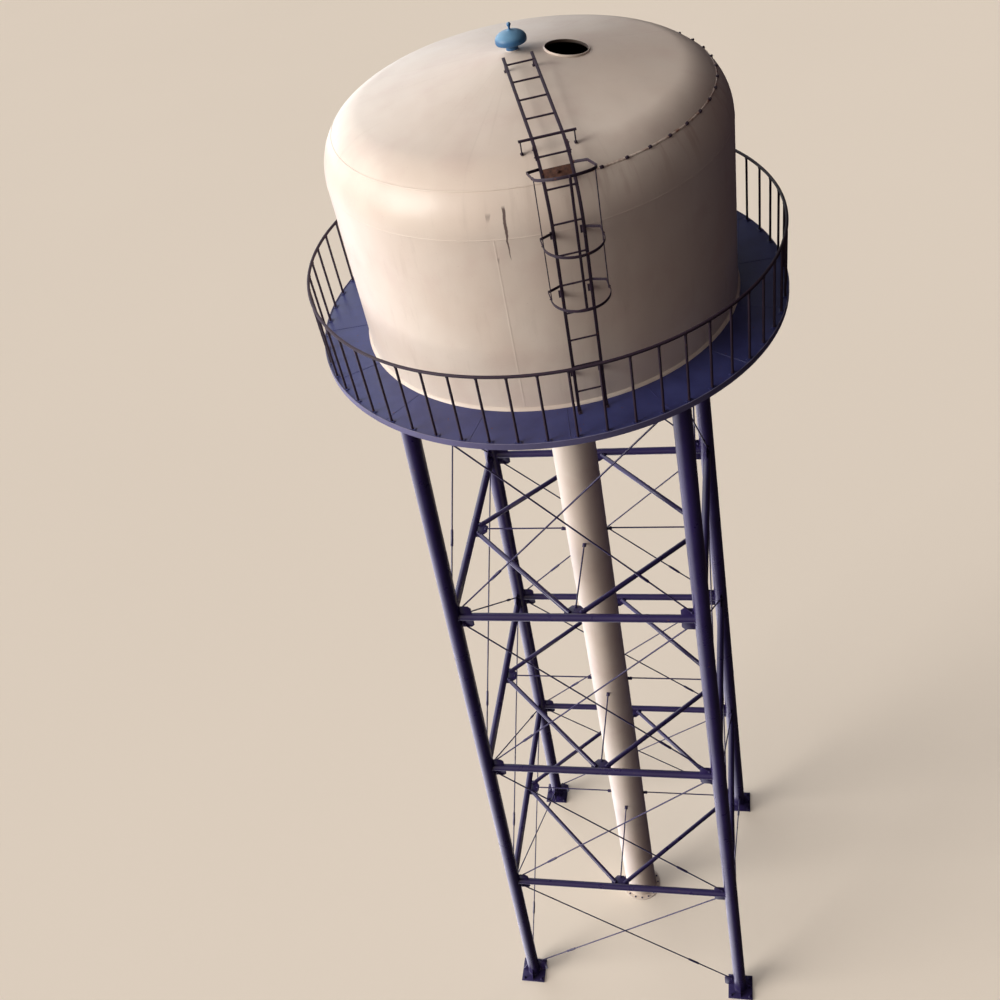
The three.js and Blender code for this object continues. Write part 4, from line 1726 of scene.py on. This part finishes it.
@dataclass
class Vent:
    """Mushroom cap with a rolled edge and a knob on a stem, on a neck welded to the roof.

    Heights are above the roof's apex.
    """

    shop: Paintshop
    around: int = 72
    neck_r: float = 0.080
    neck_z: Point = (-0.03, 0.082)
    cap_r: float = 0.203
    edge_z: Point = (0.091, 0.118)
    cap_rise: float = 0.110
    roll_r: float = 0.015
    roll_from: float = math.radians(-140)
    roll_steps: int = 5
    dome_to: float = math.radians(80)
    dome_steps: int = 10
    stem_r: float = 0.015
    stem_fillet: Point = (0.007, 0.008)
    stem_lift: float = 0.004
    stem_top: float = 0.272
    knob_r: float = 0.028
    knob_z: float = 0.298
    knob_from: float = math.radians(-50)
    knob_steps: int = 7
    weld: Bead = Bead(0.02, 0.007)

    def outline(self) -> list[Point]:
        """Outline of the vent, from the middle of its neck's foot to the tip of its knob.

        Returns:
            Points of (radius, height above the apex).
        """
        low, high = self.edge_z
        neck = [(0.0, self.neck_z[0]), *((self.neck_r, z) for z in self.neck_z)]
        curl = (self.cap_r - self.roll_r, low)
        roll = arc(self.roll_r, self.roll_from, 0.0, self.roll_steps, curl)
        quarter = arc(self.cap_r, 0.0, self.dome_to, self.dome_steps)
        dome = [(radius, high + up * self.cap_rise / self.cap_r) for radius, up in quarter]
        foot = high + self.cap_rise + self.stem_lift
        wide, tall = self.stem_fillet
        stem = [(self.stem_r + wide, foot), (self.stem_r, foot + tall), (self.stem_r, self.stem_top)]
        knob = arc(self.knob_r, self.knob_from, math.pi / 2, self.knob_steps, (0.0, self.knob_z))
        return [*neck, *roll, *dome, *stem, *knob]

    def make(self) -> None:
        """Make the pieces."""
        apex = TOWER.roof_z(0.0)
        cap = lathe([(radius, apex + z) for radius, z in self.outline()], self.around, closed=False)
        self.shop.piece("vent_cap", cap, Finish.CAP, ["roof_vent"])
        weld = self.weld.outline((self.neck_r, TOWER.roof_z(self.neck_r)), math.pi / 4)
        self.shop.piece("vent_weld", lathe(weld, self.around), Finish.CREAM)


# Balcony


@dataclass
class Balcony:
    """Ring-shaped walkway around the foot of the tank."""

    shop: Paintshop
    around: int = 224
    floor_gap: float = 0.0006
    bracket_gap: float = 0.0008
    weld_in: float = 0.05
    weld_r: float = 0.004
    weld_sides: int = 8
    lip_up: float = 0.012
    lip_down: float = 0.085
    lip_t: float = 0.012
    lip_lap: float = 0.001
    flange: float = 0.06
    brackets: int = 16
    bracket_t: float = 0.012
    bracket_depth: float = 0.13
    bracket_toe: float = 0.06
    bracket_lap: Point = (0.004, 0.002)

    @property
    def floor_r(self) -> float:
        """Radius of the floor's outer edge, just inside the edge angle."""
        return TOWER.deck_r - self.lip_t + self.lip_lap

    def floor(self) -> None:
        """Floor plates with their radial welds."""
        top, low = TOWER.deck_z, TOWER.deck_z - TOWER.deck_t
        inner, outer = TOWER.tank_r + self.floor_gap, self.floor_r
        form = Form().take(lathe([(inner, low), (outer, low), (outer, top), (inner, top)], self.around))
        start, end = Vector((inner + self.weld_in, 0, top)), Vector((outer, 0, top))
        weld = rod(start, end, self.weld_r, self.weld_sides)
        form.take(weld, spun(self.brackets, TURN / self.brackets / 2))
        self.shop.piece("balcony_floor", form.mesh, Finish.FLOOR, quartered("balcony_deck"))

    def edge(self) -> None:
        """Edge angle with a low kick lip, painted pale: mostly a painted highlight along the rim, partly
        chalking.
        """
        outer, inner = TOWER.deck_r, TOWER.deck_r - self.lip_t
        low, top = TOWER.deck_z - self.lip_down, TOWER.deck_z + self.lip_up
        outline = [
            (outer, top - EASE),
            (outer - EASE, top),
            (inner + EASE, top),
            (inner, top - EASE),
            (inner, low + self.lip_t),
            (outer - self.flange, low + self.lip_t),
            (outer - self.flange, low),
            (outer - EASE, low),
            (outer, low + EASE),
        ]
        shape = lathe(outline, self.around)
        self.shop.piece("balcony_edge", shape, Finish.EDGE, quartered("balcony_deck"))

    def underside(self) -> None:
        """Brackets that carry the floor."""
        inner, outer = TOWER.tank_r + self.bracket_gap, self.floor_r
        toe, top = self.bracket_lap
        foot, high = TOWER.deck_z - self.bracket_depth, TOWER.deck_z - TOWER.deck_t + top
        low = TOWER.deck_z - self.lip_down + toe
        outline = [
            (inner, high),
            (inner, foot),
            (inner + self.bracket_toe, foot),
            (outer - self.flange, low),
            (outer, low),
            (outer, high),
        ]
        step = TURN / self.brackets
        places = [upright((i + 0.5) * step) for i in range(self.brackets)]
        form = Form().take(slab(outline, self.bracket_t, EASE_THIN), places)
        self.shop.piece("balcony_brackets", form.mesh, Finish.BLUE, quartered("balcony_deck"))

    def make(self) -> None:
        """Make the pieces."""
        self.floor()
        self.edge()
        self.underside()


@dataclass
class Handrail:
    """One top rail on posts with bolted foot plates."""

    shop: Paintshop
    height: float = 1.067
    rail_r: float = 0.022
    rail_sides: int = 16
    from_edge: float = 0.046
    posts: int = 56
    post_r: float = 0.0175
    post_sides: int = 16
    collar: Point = (0.005, 0.034)
    around: int = 224
    plate_size: Size = (0.052, 0.10, 0.009)
    plate_in: float = 0.006
    plate_lift: float = 0.005
    bolt_aside: float = 0.036
    bolt: Bolt = Bolt(0.005, 0.002)

    def make(self) -> None:
        """Make the pieces."""
        circle = TOWER.deck_r - self.from_edge
        rail_z = TOWER.deck_z + self.height - self.rail_r
        last = self.rail_sides - 1
        section = arc(self.rail_r, 0, TURN * last / self.rail_sides, last, (circle, rail_z))
        nodes = quartered("handrail")
        self.shop.piece("top_rail", lathe(section, self.around), Finish.DARK, nodes)
        foot, head = Vector((circle, 0, TOWER.deck_z)), Vector((circle, 0, rail_z))
        places = spun(self.posts)
        form = Form().take(rod(foot, head, self.post_r, self.post_sides), places)
        thick, tall = self.collar
        collar = rod(head - UP * tall, head, self.post_r + thick, self.post_sides)
        form.take(round_off(collar, EASE_THICK, 1), places)
        self.shop.piece("rail_posts", form.mesh, Finish.DARK, nodes)
        middle = Vector((circle - self.plate_in, 0, TOWER.deck_z + self.plate_lift))
        plates = Form().take(brick(self.plate_size, middle, EASE_THIN), places)
        top = middle + UP * self.plate_size[2] / 2
        seats = [Matrix.Translation(top + Vector((0, end * self.bolt_aside, 0))) for end in ENDS]
        plates.take(self.bolt.shape(), [turn @ seat for turn in places for seat in seats])
        self.shop.piece("rail_feet", plates.mesh, Finish.FLOOR)


# Ladder and cage


@dataclass
class Ladder:
    """Two flat stringers and round rungs, up the wall, over the shoulder and on to the roof.

    Its shapes are drawn in the plane of (distance out, height), with the third axis across.
    """

    shop: Paintshop
    stringer_half: float = 0.18
    stringer_w: float = 0.04
    stringer_t: float = 0.016
    wall_end: float = math.radians(63)
    wall_steps: int = 18
    roof_steps: int = 8
    end_gap: float = 0.0005
    rung_r: float = 0.012
    rung_sides: int = 16
    rung_past: float = 0.004
    collar: float = 0.003
    first_rung: float = 0.316
    step: float = 0.395
    last_clear: float = 0.02
    roof_rung_out: float = 2.17
    roof_rung_step: float = 0.388
    roof_rungs: int = 5
    roof_top: float = 0.45
    top_foot_out: float = 0.48
    support_half: float = 0.34
    support_r: float = 0.016
    support_foot_in: float = 0.022
    foot_section: Point = (0.044, 0.012)
    foot_lap: float = 0.004
    foot_pad: Size = (0.058, 0.006, 0.036)
    bracket_heights: tuple[float, ...] = (0.514, 1.70, 2.49)
    arm_t: float = 0.012
    pad: Size = (0.008, 0.10, 0.055)
    pad_sunk: float = 0.001
    pad_bolt_out: float = 0.034
    bolt: Bolt = Bolt(0.006, 0.003)
    clip_flat: Size = (0.07, 0.008, 0.05)
    clip_up: Size = (0.008, 0.07, 0.05)
    clip_sunk: Point = (0.0005, 0.001)
    clip_out: Point = (0.011, 0.045)
    clip_bolt: Bolt = Bolt(0.006, 0.004)
    splice_half: float = 0.09
    splice_t: float = 0.008
    splice_gap: float = 0.003
    splice_steps: int = 4
    splice_bolts: float = 0.6
    splice_bolt: Bolt = Bolt(0.005, 0.003)
    plate_angle: float = math.radians(45.5)
    plate_size: Point = (0.008, 0.125)
    plate_gap: float = 0.001
    plate_bolt: Bolt = Bolt(0.011, 0.012)

    @property
    def out(self) -> float:
        """Distance from the tower's axis to the ladder's line beside the wall."""
        return TOWER.tank_r + TOWER.ladder_off

    @property
    def bend(self) -> float:
        """Radius of the ladder's line around the shoulder."""
        return TOWER.shoulder_r + TOWER.ladder_off

    @property
    def place(self) -> Matrix:
        """The ladder's plane."""
        return upright(TOWER.ladder_azimuth)

    def along_arc(self, offset: float, first: float, last: float, steps: int) -> list[Point]:
        """Points beside the shoulder, at a distance outside the ladder's line."""
        return TOWER.shoulder(TOWER.ladder_off + offset, first, last, steps)

    def above_roof(self, out: float, offset: float = 0.0) -> Point:
        """Point over the roof, at a distance outside the ladder's line."""
        return out, TOWER.roof_z(out, TOWER.ladder_off + offset)

    def line(self, along: float) -> Point:
        """Find a point on the ladder's line.

        Args:
            along: Its length from the ladder's foot.

        Returns:
            The point.
        """
        straight = TOWER.wall_top_z - TOWER.deck_z
        if along <= straight:
            return self.out, TOWER.deck_z + along
        return TOWER.on_shoulder((along - straight) / self.bend, TOWER.ladder_off)

    def stringers(self, outline: list[Point]) -> Form:
        """Both stringers of one outline, as a form to which the rest is added."""
        sides = [self.place @ Matrix.Translation((0, 0, end * self.stringer_half)) for end in ENDS]
        return Form().take(slab(outline, self.stringer_w, EASE_THICK), sides)

    def rung(self, point: Point, half: float, radius: float) -> BMesh:
        """Round rung with a small weld collar at each stringer.

        Args:
            point: Point of the ladder's plane where it lies.
            half: Half its length.
            radius: Its radius.

        Returns:
            A new mesh.
        """
        bar = [Vector((*point, end * half)) for end in ENDS]
        form = Form().take(rod(*bar, radius, self.rung_sides))
        inner = self.stringer_half - self.stringer_w / 2
        for end in ENDS:
            lap = [Vector((*point, end * (inner + past * self.rung_past))) for past in ENDS]
            form.take(rod(*lap, radius + self.collar, self.rung_sides))
        return form.mesh

    def wall_part(self) -> None:
        """Ladder beside the wall and around the shoulder."""
        half, foot = self.stringer_t / 2, TOWER.deck_z + TOWER.fit
        outline = [
            (self.out - half, foot),
            (self.out + half, foot),
            *self.along_arc(half, 0.0, self.wall_end, self.wall_steps),
            *self.along_arc(-half, self.wall_end, 0.0, self.wall_steps),
        ]
        form = self.stringers(outline)
        length = TOWER.wall_top_z - TOWER.deck_z + self.bend * self.wall_end
        count = int((length - self.last_clear - self.first_rung) / self.step) + 1
        for i in range(count):
            point = self.line(self.first_rung + i * self.step)
            form.take(self.rung(point, self.stringer_half + self.rung_past, self.rung_r), [self.place])
        for height in self.bracket_heights:
            form.take(self.wall_bracket(TOWER.deck_z + height), [self.place])
        form.take(self.foot_clips(), [self.place])
        self.shop.piece("ladder_wall", form.mesh, Finish.DARK, ["wall_ladder"])

    def wall_bracket(self, z: float) -> BMesh:
        """Two flat arms with bolted pads on the wall.

        Args:
            z: Height of the bracket.

        Returns:
            A new mesh.
        """
        form = Form()
        reach, wall = TOWER.ladder_off, TOWER.tank_r - self.pad_sunk
        for end in ENDS:
            across = end * self.stringer_half
            form.take(brick((reach, self.stringer_w, self.arm_t), (self.out - reach / 2, z, across)))
            form.take(brick(self.pad, (wall + self.pad[0] / 2, z, across)))
            seats = [(wall + self.pad[0], z + step * self.pad_bolt_out) for step in ENDS]
            for seat in (*seats, (self.out + self.stringer_t / 2, z)):
                form.take(*self.bolt.at(Vector((*seat, across)), OUT))
        return form.mesh

    def foot_clips(self) -> BMesh:
        """Small angles that hold the stringers on the balcony floor.

        Returns:
            A new mesh.
        """
        form = Form()
        flat, up, deck = self.clip_flat, self.clip_up, TOWER.deck_z
        for end in ENDS:
            across = end * self.stringer_half
            low, high = (deck + size[1] / 2 + lift for size, lift in zip((flat, up), self.clip_sunk))
            form.take(brick(flat, (self.out + flat[0] / 2, low, across), EASE_THIN))
            form.take(brick(up, (self.out + self.clip_out[0], high, across), EASE_THIN))
            seat = Vector((self.out + self.clip_out[1], low + flat[1] / 2, across))
            form.take(*self.clip_bolt.at(seat, Vector((0, 1, 0))))
        return form.mesh

    def roof_part(self) -> None:
        """Ladder over the roof, on a wide support bar with feet."""
        half, start = self.stringer_t / 2, self.wall_end + self.end_gap
        outline = [
            *self.along_arc(half, start, TOWER.roof_tangent, self.roof_steps),
            self.above_roof(self.roof_top, half),
            self.above_roof(self.roof_top, -half),
            *self.along_arc(-half, TOWER.roof_tangent, start, self.roof_steps),
        ]
        form = self.stringers(outline)
        for i in range(1, self.roof_rungs):
            point = self.above_roof(self.roof_rung_out - i * self.roof_rung_step)
            form.take(self.rung(point, self.stringer_half + self.rung_past, self.rung_r), [self.place])
        low = self.above_roof(self.roof_rung_out)
        form.take(self.rung(low, self.support_half, self.support_r), [self.place])
        support = self.support_half - self.support_foot_in
        for end in ENDS:
            form.take(self.foot(self.roof_rung_out, end * support), [self.place])
            form.take(self.foot(self.top_foot_out, end * self.stringer_half), [self.place])
        form.take(self.splices(), [self.place])
        self.shop.piece("ladder_roof", form.mesh, Finish.DARK, ["roof_ladder"])

    def foot(self, out: float, across: float) -> BMesh:
        """Post from the ladder down to a pad on the roof.

        Args:
            out: Distance of the post from the tower's axis.
            across: Its distance to the side of the ladder's middle.

        Returns:
            A new mesh.
        """
        _, top = self.above_roof(out)
        bottom = TOWER.roof_z(out)
        if out > TOWER.on_shoulder(TOWER.roof_tangent)[0]:
            across_arc = (out - TOWER.tank_r + TOWER.shoulder_r) / TOWER.shoulder_r
            bottom = TOWER.wall_top_z + TOWER.shoulder_r * math.sin(math.acos(across_arc))
        wide, thick = self.foot_section
        post = brick((wide, top - bottom + self.foot_lap, thick), (out, (top + bottom) / 2, across))
        seat = Matrix.Translation((out, bottom + self.foot_lap / 2, across))
        lean = Matrix.Rotation(-TOWER.roof_slope, 4, "Z")
        return Form().take(post).take(brick(self.foot_pad), [seat @ lean]).mesh

    def splices(self) -> BMesh:
        """Fish plates that join the two parts of the ladder.

        Returns:
            A new mesh.
        """
        form = Form()
        half = self.splice_half / self.bend
        first, last = self.wall_end - half, self.wall_end + half
        outline = [
            *self.along_arc(self.stringer_t, first, last, self.splice_steps),
            *self.along_arc(-self.stringer_t, last, first, self.splice_steps),
        ]
        for end in ENDS:
            across = end * (self.stringer_half + self.stringer_w / 2 + self.splice_gap)
            plate = slab(outline, self.splice_t, EASE_THIN)
            form.take(plate, [Matrix.Translation((0, 0, across))])
            for way in ENDS:
                angle = self.wall_end + way * self.splice_bolts * half
                point = TOWER.on_shoulder(angle, TOWER.ladder_off)
                seat = Vector((*point, across + end * self.splice_t / 2))
                form.take(*self.splice_bolt.at(seat, UP * end))
        return form.mesh

    def plate(self) -> None:
        """Small rusted plate between the stringers, with one bolt."""
        across = 2 * self.stringer_half - self.stringer_w - self.plate_gap
        centre = Vector((*TOWER.on_shoulder(self.plate_angle, TOWER.ladder_off), 0))
        lean = Matrix.Translation(centre) @ Matrix.Rotation(self.plate_angle, 4, "Z")
        here = self.place @ lean
        form = Form().take(brick((*self.plate_size, across), edge=EASE_THIN), [here])
        seat = facing(OUT * self.plate_size[0] / 2, OUT)
        form.take(self.plate_bolt.shape(), [here @ seat])
        self.shop.piece("rusted_plate", form.mesh, Finish.RUST, ["ladder_plate"])

    def make(self) -> None:
        """Make the pieces."""
        self.wall_part()
        self.roof_part()
        self.plate()


@dataclass
class Cage:
    """Safety hoops around the upper part of the ladder, joined by three bars."""

    shop: Paintshop
    ladder: Ladder
    half: float = 0.355
    front: float = 3.52
    flare: float = 0.075
    hoop_h: float = 0.034
    hoop_t: float = 0.010
    hoop_steps: int = 40
    levels: Point = (19.777, 20.477)
    top_angle: float = math.radians(50)
    top_tilt: float = math.radians(18)
    top_reach: float = 0.99
    bar_w: float = 0.032
    bar_inset: float = 0.014
    side_bar_out: float = 3.125
    bolt: Bolt = Bolt(0.005, 0.003)

    def outline(self, reach: float) -> list[Point]:
        """Outline of a hoop that starts at the stringers' backs, as (distance out, across).

        Args:
            reach: Distance from there to the hoop's front.

        Returns:
            The outline.
        """
        middle = (reach - self.half, 0.0)
        root = self.ladder.stringer_half + self.ladder.stringer_w / 2
        inner, quarter = self.half - self.hoop_t, math.pi / 2
        outside = [(0.0, root), (self.flare, self.half)]
        inside = [(self.flare + self.hoop_t / 2, inner), (self.hoop_t, root)]
        return [
            *((out, -across) for out, across in outside),
            *arc(self.half, -quarter, quarter, self.hoop_steps, middle),
            *reversed(outside),
            *reversed(inside),
            *arc(inner, quarter, -quarter, self.hoop_steps, middle),
            *((out, -across) for out, across in inside),
        ]

    def make(self) -> None:
        """Make the cage."""
        form = Form()
        turned = Matrix.Rotation(TOWER.ladder_azimuth, 4, "Z")
        start = self.ladder.out - self.ladder.stringer_t / 2
        for z in self.levels:
            place = turned @ Matrix.Translation((start, 0, z))
            form.take(slab(self.outline(self.front - start), self.hoop_h), [place])
        top_out, top_z = TOWER.on_shoulder(self.top_angle, TOWER.ladder_off)
        lean = Matrix.Rotation(-self.top_tilt, 4, "Y")
        top = turned @ Matrix.Translation((top_out - self.ladder.stringer_t / 2, 0, top_z)) @ lean
        form.take(slab(self.outline(self.top_reach), self.hoop_h), [top])
        bars = [(self.front - self.bar_inset, 0.0, (self.hoop_t, self.bar_w), OUT)]
        for end in ENDS:
            across = end * (self.half - self.bar_inset)
            bars.append((self.side_bar_out, across, (self.bar_w, self.hoop_t), Vector((0, end, 0))))
        for out, across, section, outward in bars:
            low = self.levels[0] - self.hoop_h / 2
            high = top_z + (out - top_out) * math.tan(self.top_tilt) + self.hoop_h / 2
            form.take(brick((*section, high - low), (out, across, (low + high) / 2)), [turned])
            for z in (*self.levels, high - self.hoop_h / 2):
                seat = Vector((out, across, z)) + outward * self.bar_inset
                form.take(self.bolt.shape(), [turned @ facing(seat, outward)])
        self.shop.piece("cage", form.mesh, Finish.DARK, ["ladder_cage"])


# Studio


def direction(azimuth: float, height: float) -> Vector:
    """Unit vector at an azimuth and an angle above the floor."""
    flat = math.cos(height)
    return Vector((flat * math.cos(azimuth), flat * math.sin(azimuth), math.sin(height)))


@dataclass(frozen=True)
class Glow:
    """Soft bright region of the room: where it is, where it starts and is full, and its colour."""

    azimuth: float
    height: float
    edge: float
    full: float
    tone: Colour


@dataclass
class Studio:
    """Plain pale floor and backdrop, low soft light from the left, the camera at the photo's angle."""

    camera_place: Size = (2.842, -13.797, 26.655)
    camera_aim: Size = (-1.476, 0.0, 13.684)
    camera_roll: float = math.radians(-12.658)
    lens: float = 39.202
    sensor: float = 36.0
    far: float = 900.0
    floor_r: float = 240.0
    floor_sides: int = 96
    backdrop_r: float = 250.0
    backdrop_around: int = 64
    backdrop_rows: int = 32
    backdrop_tone: Colour = (0.73, 0.66, 0.57, 1)
    key_azimuth: float = math.radians(-152)
    key_height: float = math.radians(23)
    key_spread: float = math.radians(36)
    key_power: float = 2.9
    key_tint: Size = (1.0, 0.97, 0.93)
    room_tone: Colour = (0.032, 0.023, 0.029, 1)
    card_azimuth: float = math.radians(172)
    card_height: float = math.radians(-45)
    card_far: float = 100.0
    card_r: float = 143.0
    card_sides: int = 64
    card_tone: Colour = (0.90, 0.87, 1.0, 1)
    card_glow: float = 3.0
    glows: tuple[Glow, ...] = (
        Glow(math.radians(-132), math.radians(26), 0.42, 1.0, (0.66, 0.58, 0.52, 1)),
        Glow(math.radians(146), math.radians(7), 0.50, 0.95, (1.7, 1.75, 1.8, 1)),
    )

    def set_up(self, name: str, shape: BMesh, material: Material, unseen_by: Sequence[str]) -> Object:
        """Put up a part of the studio, which isn't part of the tower.

        Args:
            name: Name of the object.
            shape: Its mesh, which is freed.
            material: Its material.
            unseen_by: Kinds of ray that pass through it.

        Returns:
            The new object.
        """
        mesh = new_mesh(name, shape)
        mesh.materials.append(material)
        thing = show(mesh)
        for ray in unseen_by:
            setattr(thing, f"visible_{ray}", False)
        return thing

    def lay_floor(self) -> None:
        """Floor under the feet, which throws no light back up and shows in no paint.

        So the shaded side stays dark and the glossy columns keep their colour.
        """
        shape = bmesh.new()
        sides = self.floor_sides
        bmesh.ops.create_circle(shape, cap_ends=True, segments=sides, radius=self.floor_r)
        self.set_up("studio_floor", shape, StudioFloor().make(), ("diffuse", "glossy"))

    def hang_backdrop(self) -> None:
        """Pale dome around the studio, seen by the camera alone."""
        bench = Bench("backdrop")
        bench.feed(bench.shader.inputs["Base Color"], BLACK)
        bench.glow(self.backdrop_tone, 1.0)
        shape = bmesh.new()
        bmesh.ops.create_uvsphere(
            shape,
            u_segments=self.backdrop_around,
            v_segments=self.backdrop_rows,
            radius=self.backdrop_r,
        )
        unseen_by = ("diffuse", "glossy", "transmission", "shadow")
        self.set_up("backdrop", shape, bench.material, unseen_by)

    def hang_card(self) -> None:
        """Round pale card on the left, faded towards its rim, which only the gloss of paint shows."""
        bench = Bench("card")
        bench.feed(bench.shader.inputs["Base Color"], BLACK)
        fade = bench.add("ShaderNodeTexGradient", gradient_type="SPHERICAL")
        bench.fed(fade, bench.stretched((1 / self.card_r,) * 3))
        bench.glow(self.card_tone, bench.product(fade.outputs["Fac"], self.card_glow))
        shape = bmesh.new()
        sides = self.card_sides
        bmesh.ops.create_circle(shape, cap_ends=True, segments=sides, radius=self.card_r)
        unseen_by = ("camera", "diffuse", "transmission", "shadow")
        card = self.set_up("card", shape, bench.material, unseen_by)
        way = direction(self.card_azimuth, self.card_height)
        card.matrix_world = facing(way * self.card_far, -way)

    def set_key(self) -> None:
        """Low soft light from the left."""
        data = bpy.data.lights.new("key", "SUN")
        data.energy = self.key_power
        data.color = self.key_tint
        data.angle = self.key_spread
        lamp = bpy.data.objects.new("key", data)
        towards = -direction(self.key_azimuth, self.key_height)
        lamp.rotation_euler = towards.to_track_quat("-Z", "Y").to_euler()
        bpy.context.scene.collection.objects.link(lamp)

    def surround(self) -> None:
        """Room light: a dim room with soft glows."""
        world = bpy.data.worlds.new("room")
        world.use_nodes = True
        nodes = Nodes(world.node_tree, "Generated")
        light = self.room_tone
        for glow in self.glows:
            aim = nodes.add("ShaderNodeVectorMath", operation="DOT_PRODUCT")
            nodes.fed(aim, nodes.where, direction(glow.azimuth, glow.height))
            near = nodes.rises(aim.outputs["Value"], glow.edge, glow.full)
            light = nodes.mix(near, light, glow.tone, "ADD")
        nodes.feed(nodes.tree.nodes["Background"].inputs["Color"], light)
        bpy.context.scene.world = world

    def set_camera(self) -> None:
        """Camera at the photo's viewing angle."""
        data = bpy.data.cameras.new("camera")
        data.lens = self.lens
        data.sensor_width = self.sensor
        data.sensor_fit = "HORIZONTAL"
        data.clip_end = self.far
        camera = bpy.data.objects.new("camera", data)
        look = (Vector(self.camera_aim) - Vector(self.camera_place)).to_track_quat("-Z", "Y")
        roll = Matrix.Rotation(self.camera_roll, 4, "Z")
        camera.matrix_world = Matrix.Translation(self.camera_place) @ look.to_matrix().to_4x4() @ roll
        bpy.context.scene.collection.objects.link(camera)
        bpy.context.scene.camera = camera

    def make(self) -> None:
        """Set up the studio."""
        self.set_camera()
        self.lay_floor()
        self.hang_backdrop()
        self.hang_card()
        self.surround()
        self.set_key()
        bpy.context.scene.view_settings.view_transform = "Standard"


def corners(bounds: Sequence[Sequence[float]]) -> list[list[float]]:
    """Plain lists of numbers from a box's two corners."""
    return [[float(number) for number in corner] for corner in bounds]


def main() -> None:
    """Load the frame, set up the studio and build each sub-assembly."""
    logging.basicConfig(level=logging.INFO, format="%(name)s: %(message)s")
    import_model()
    Studio().make()
    shop = Paintshop()
    columns = Columns(shop)
    ladder = Ladder(shop)
    builders = (
        columns,
        SwayBracing(shop),
        Struts(shop, columns),
        PlanBracing(shop),
        Riser(shop),
        Tank(shop),
        Vent(shop),
        Balcony(shop),
        Handrail(shop),
        ladder,
        Cage(shop, ladder),
    )
    for builder in builders:
        LOG.info("making %s", type(builder).__name__)
        builder.make()


if __name__ == "__main__":
    main()
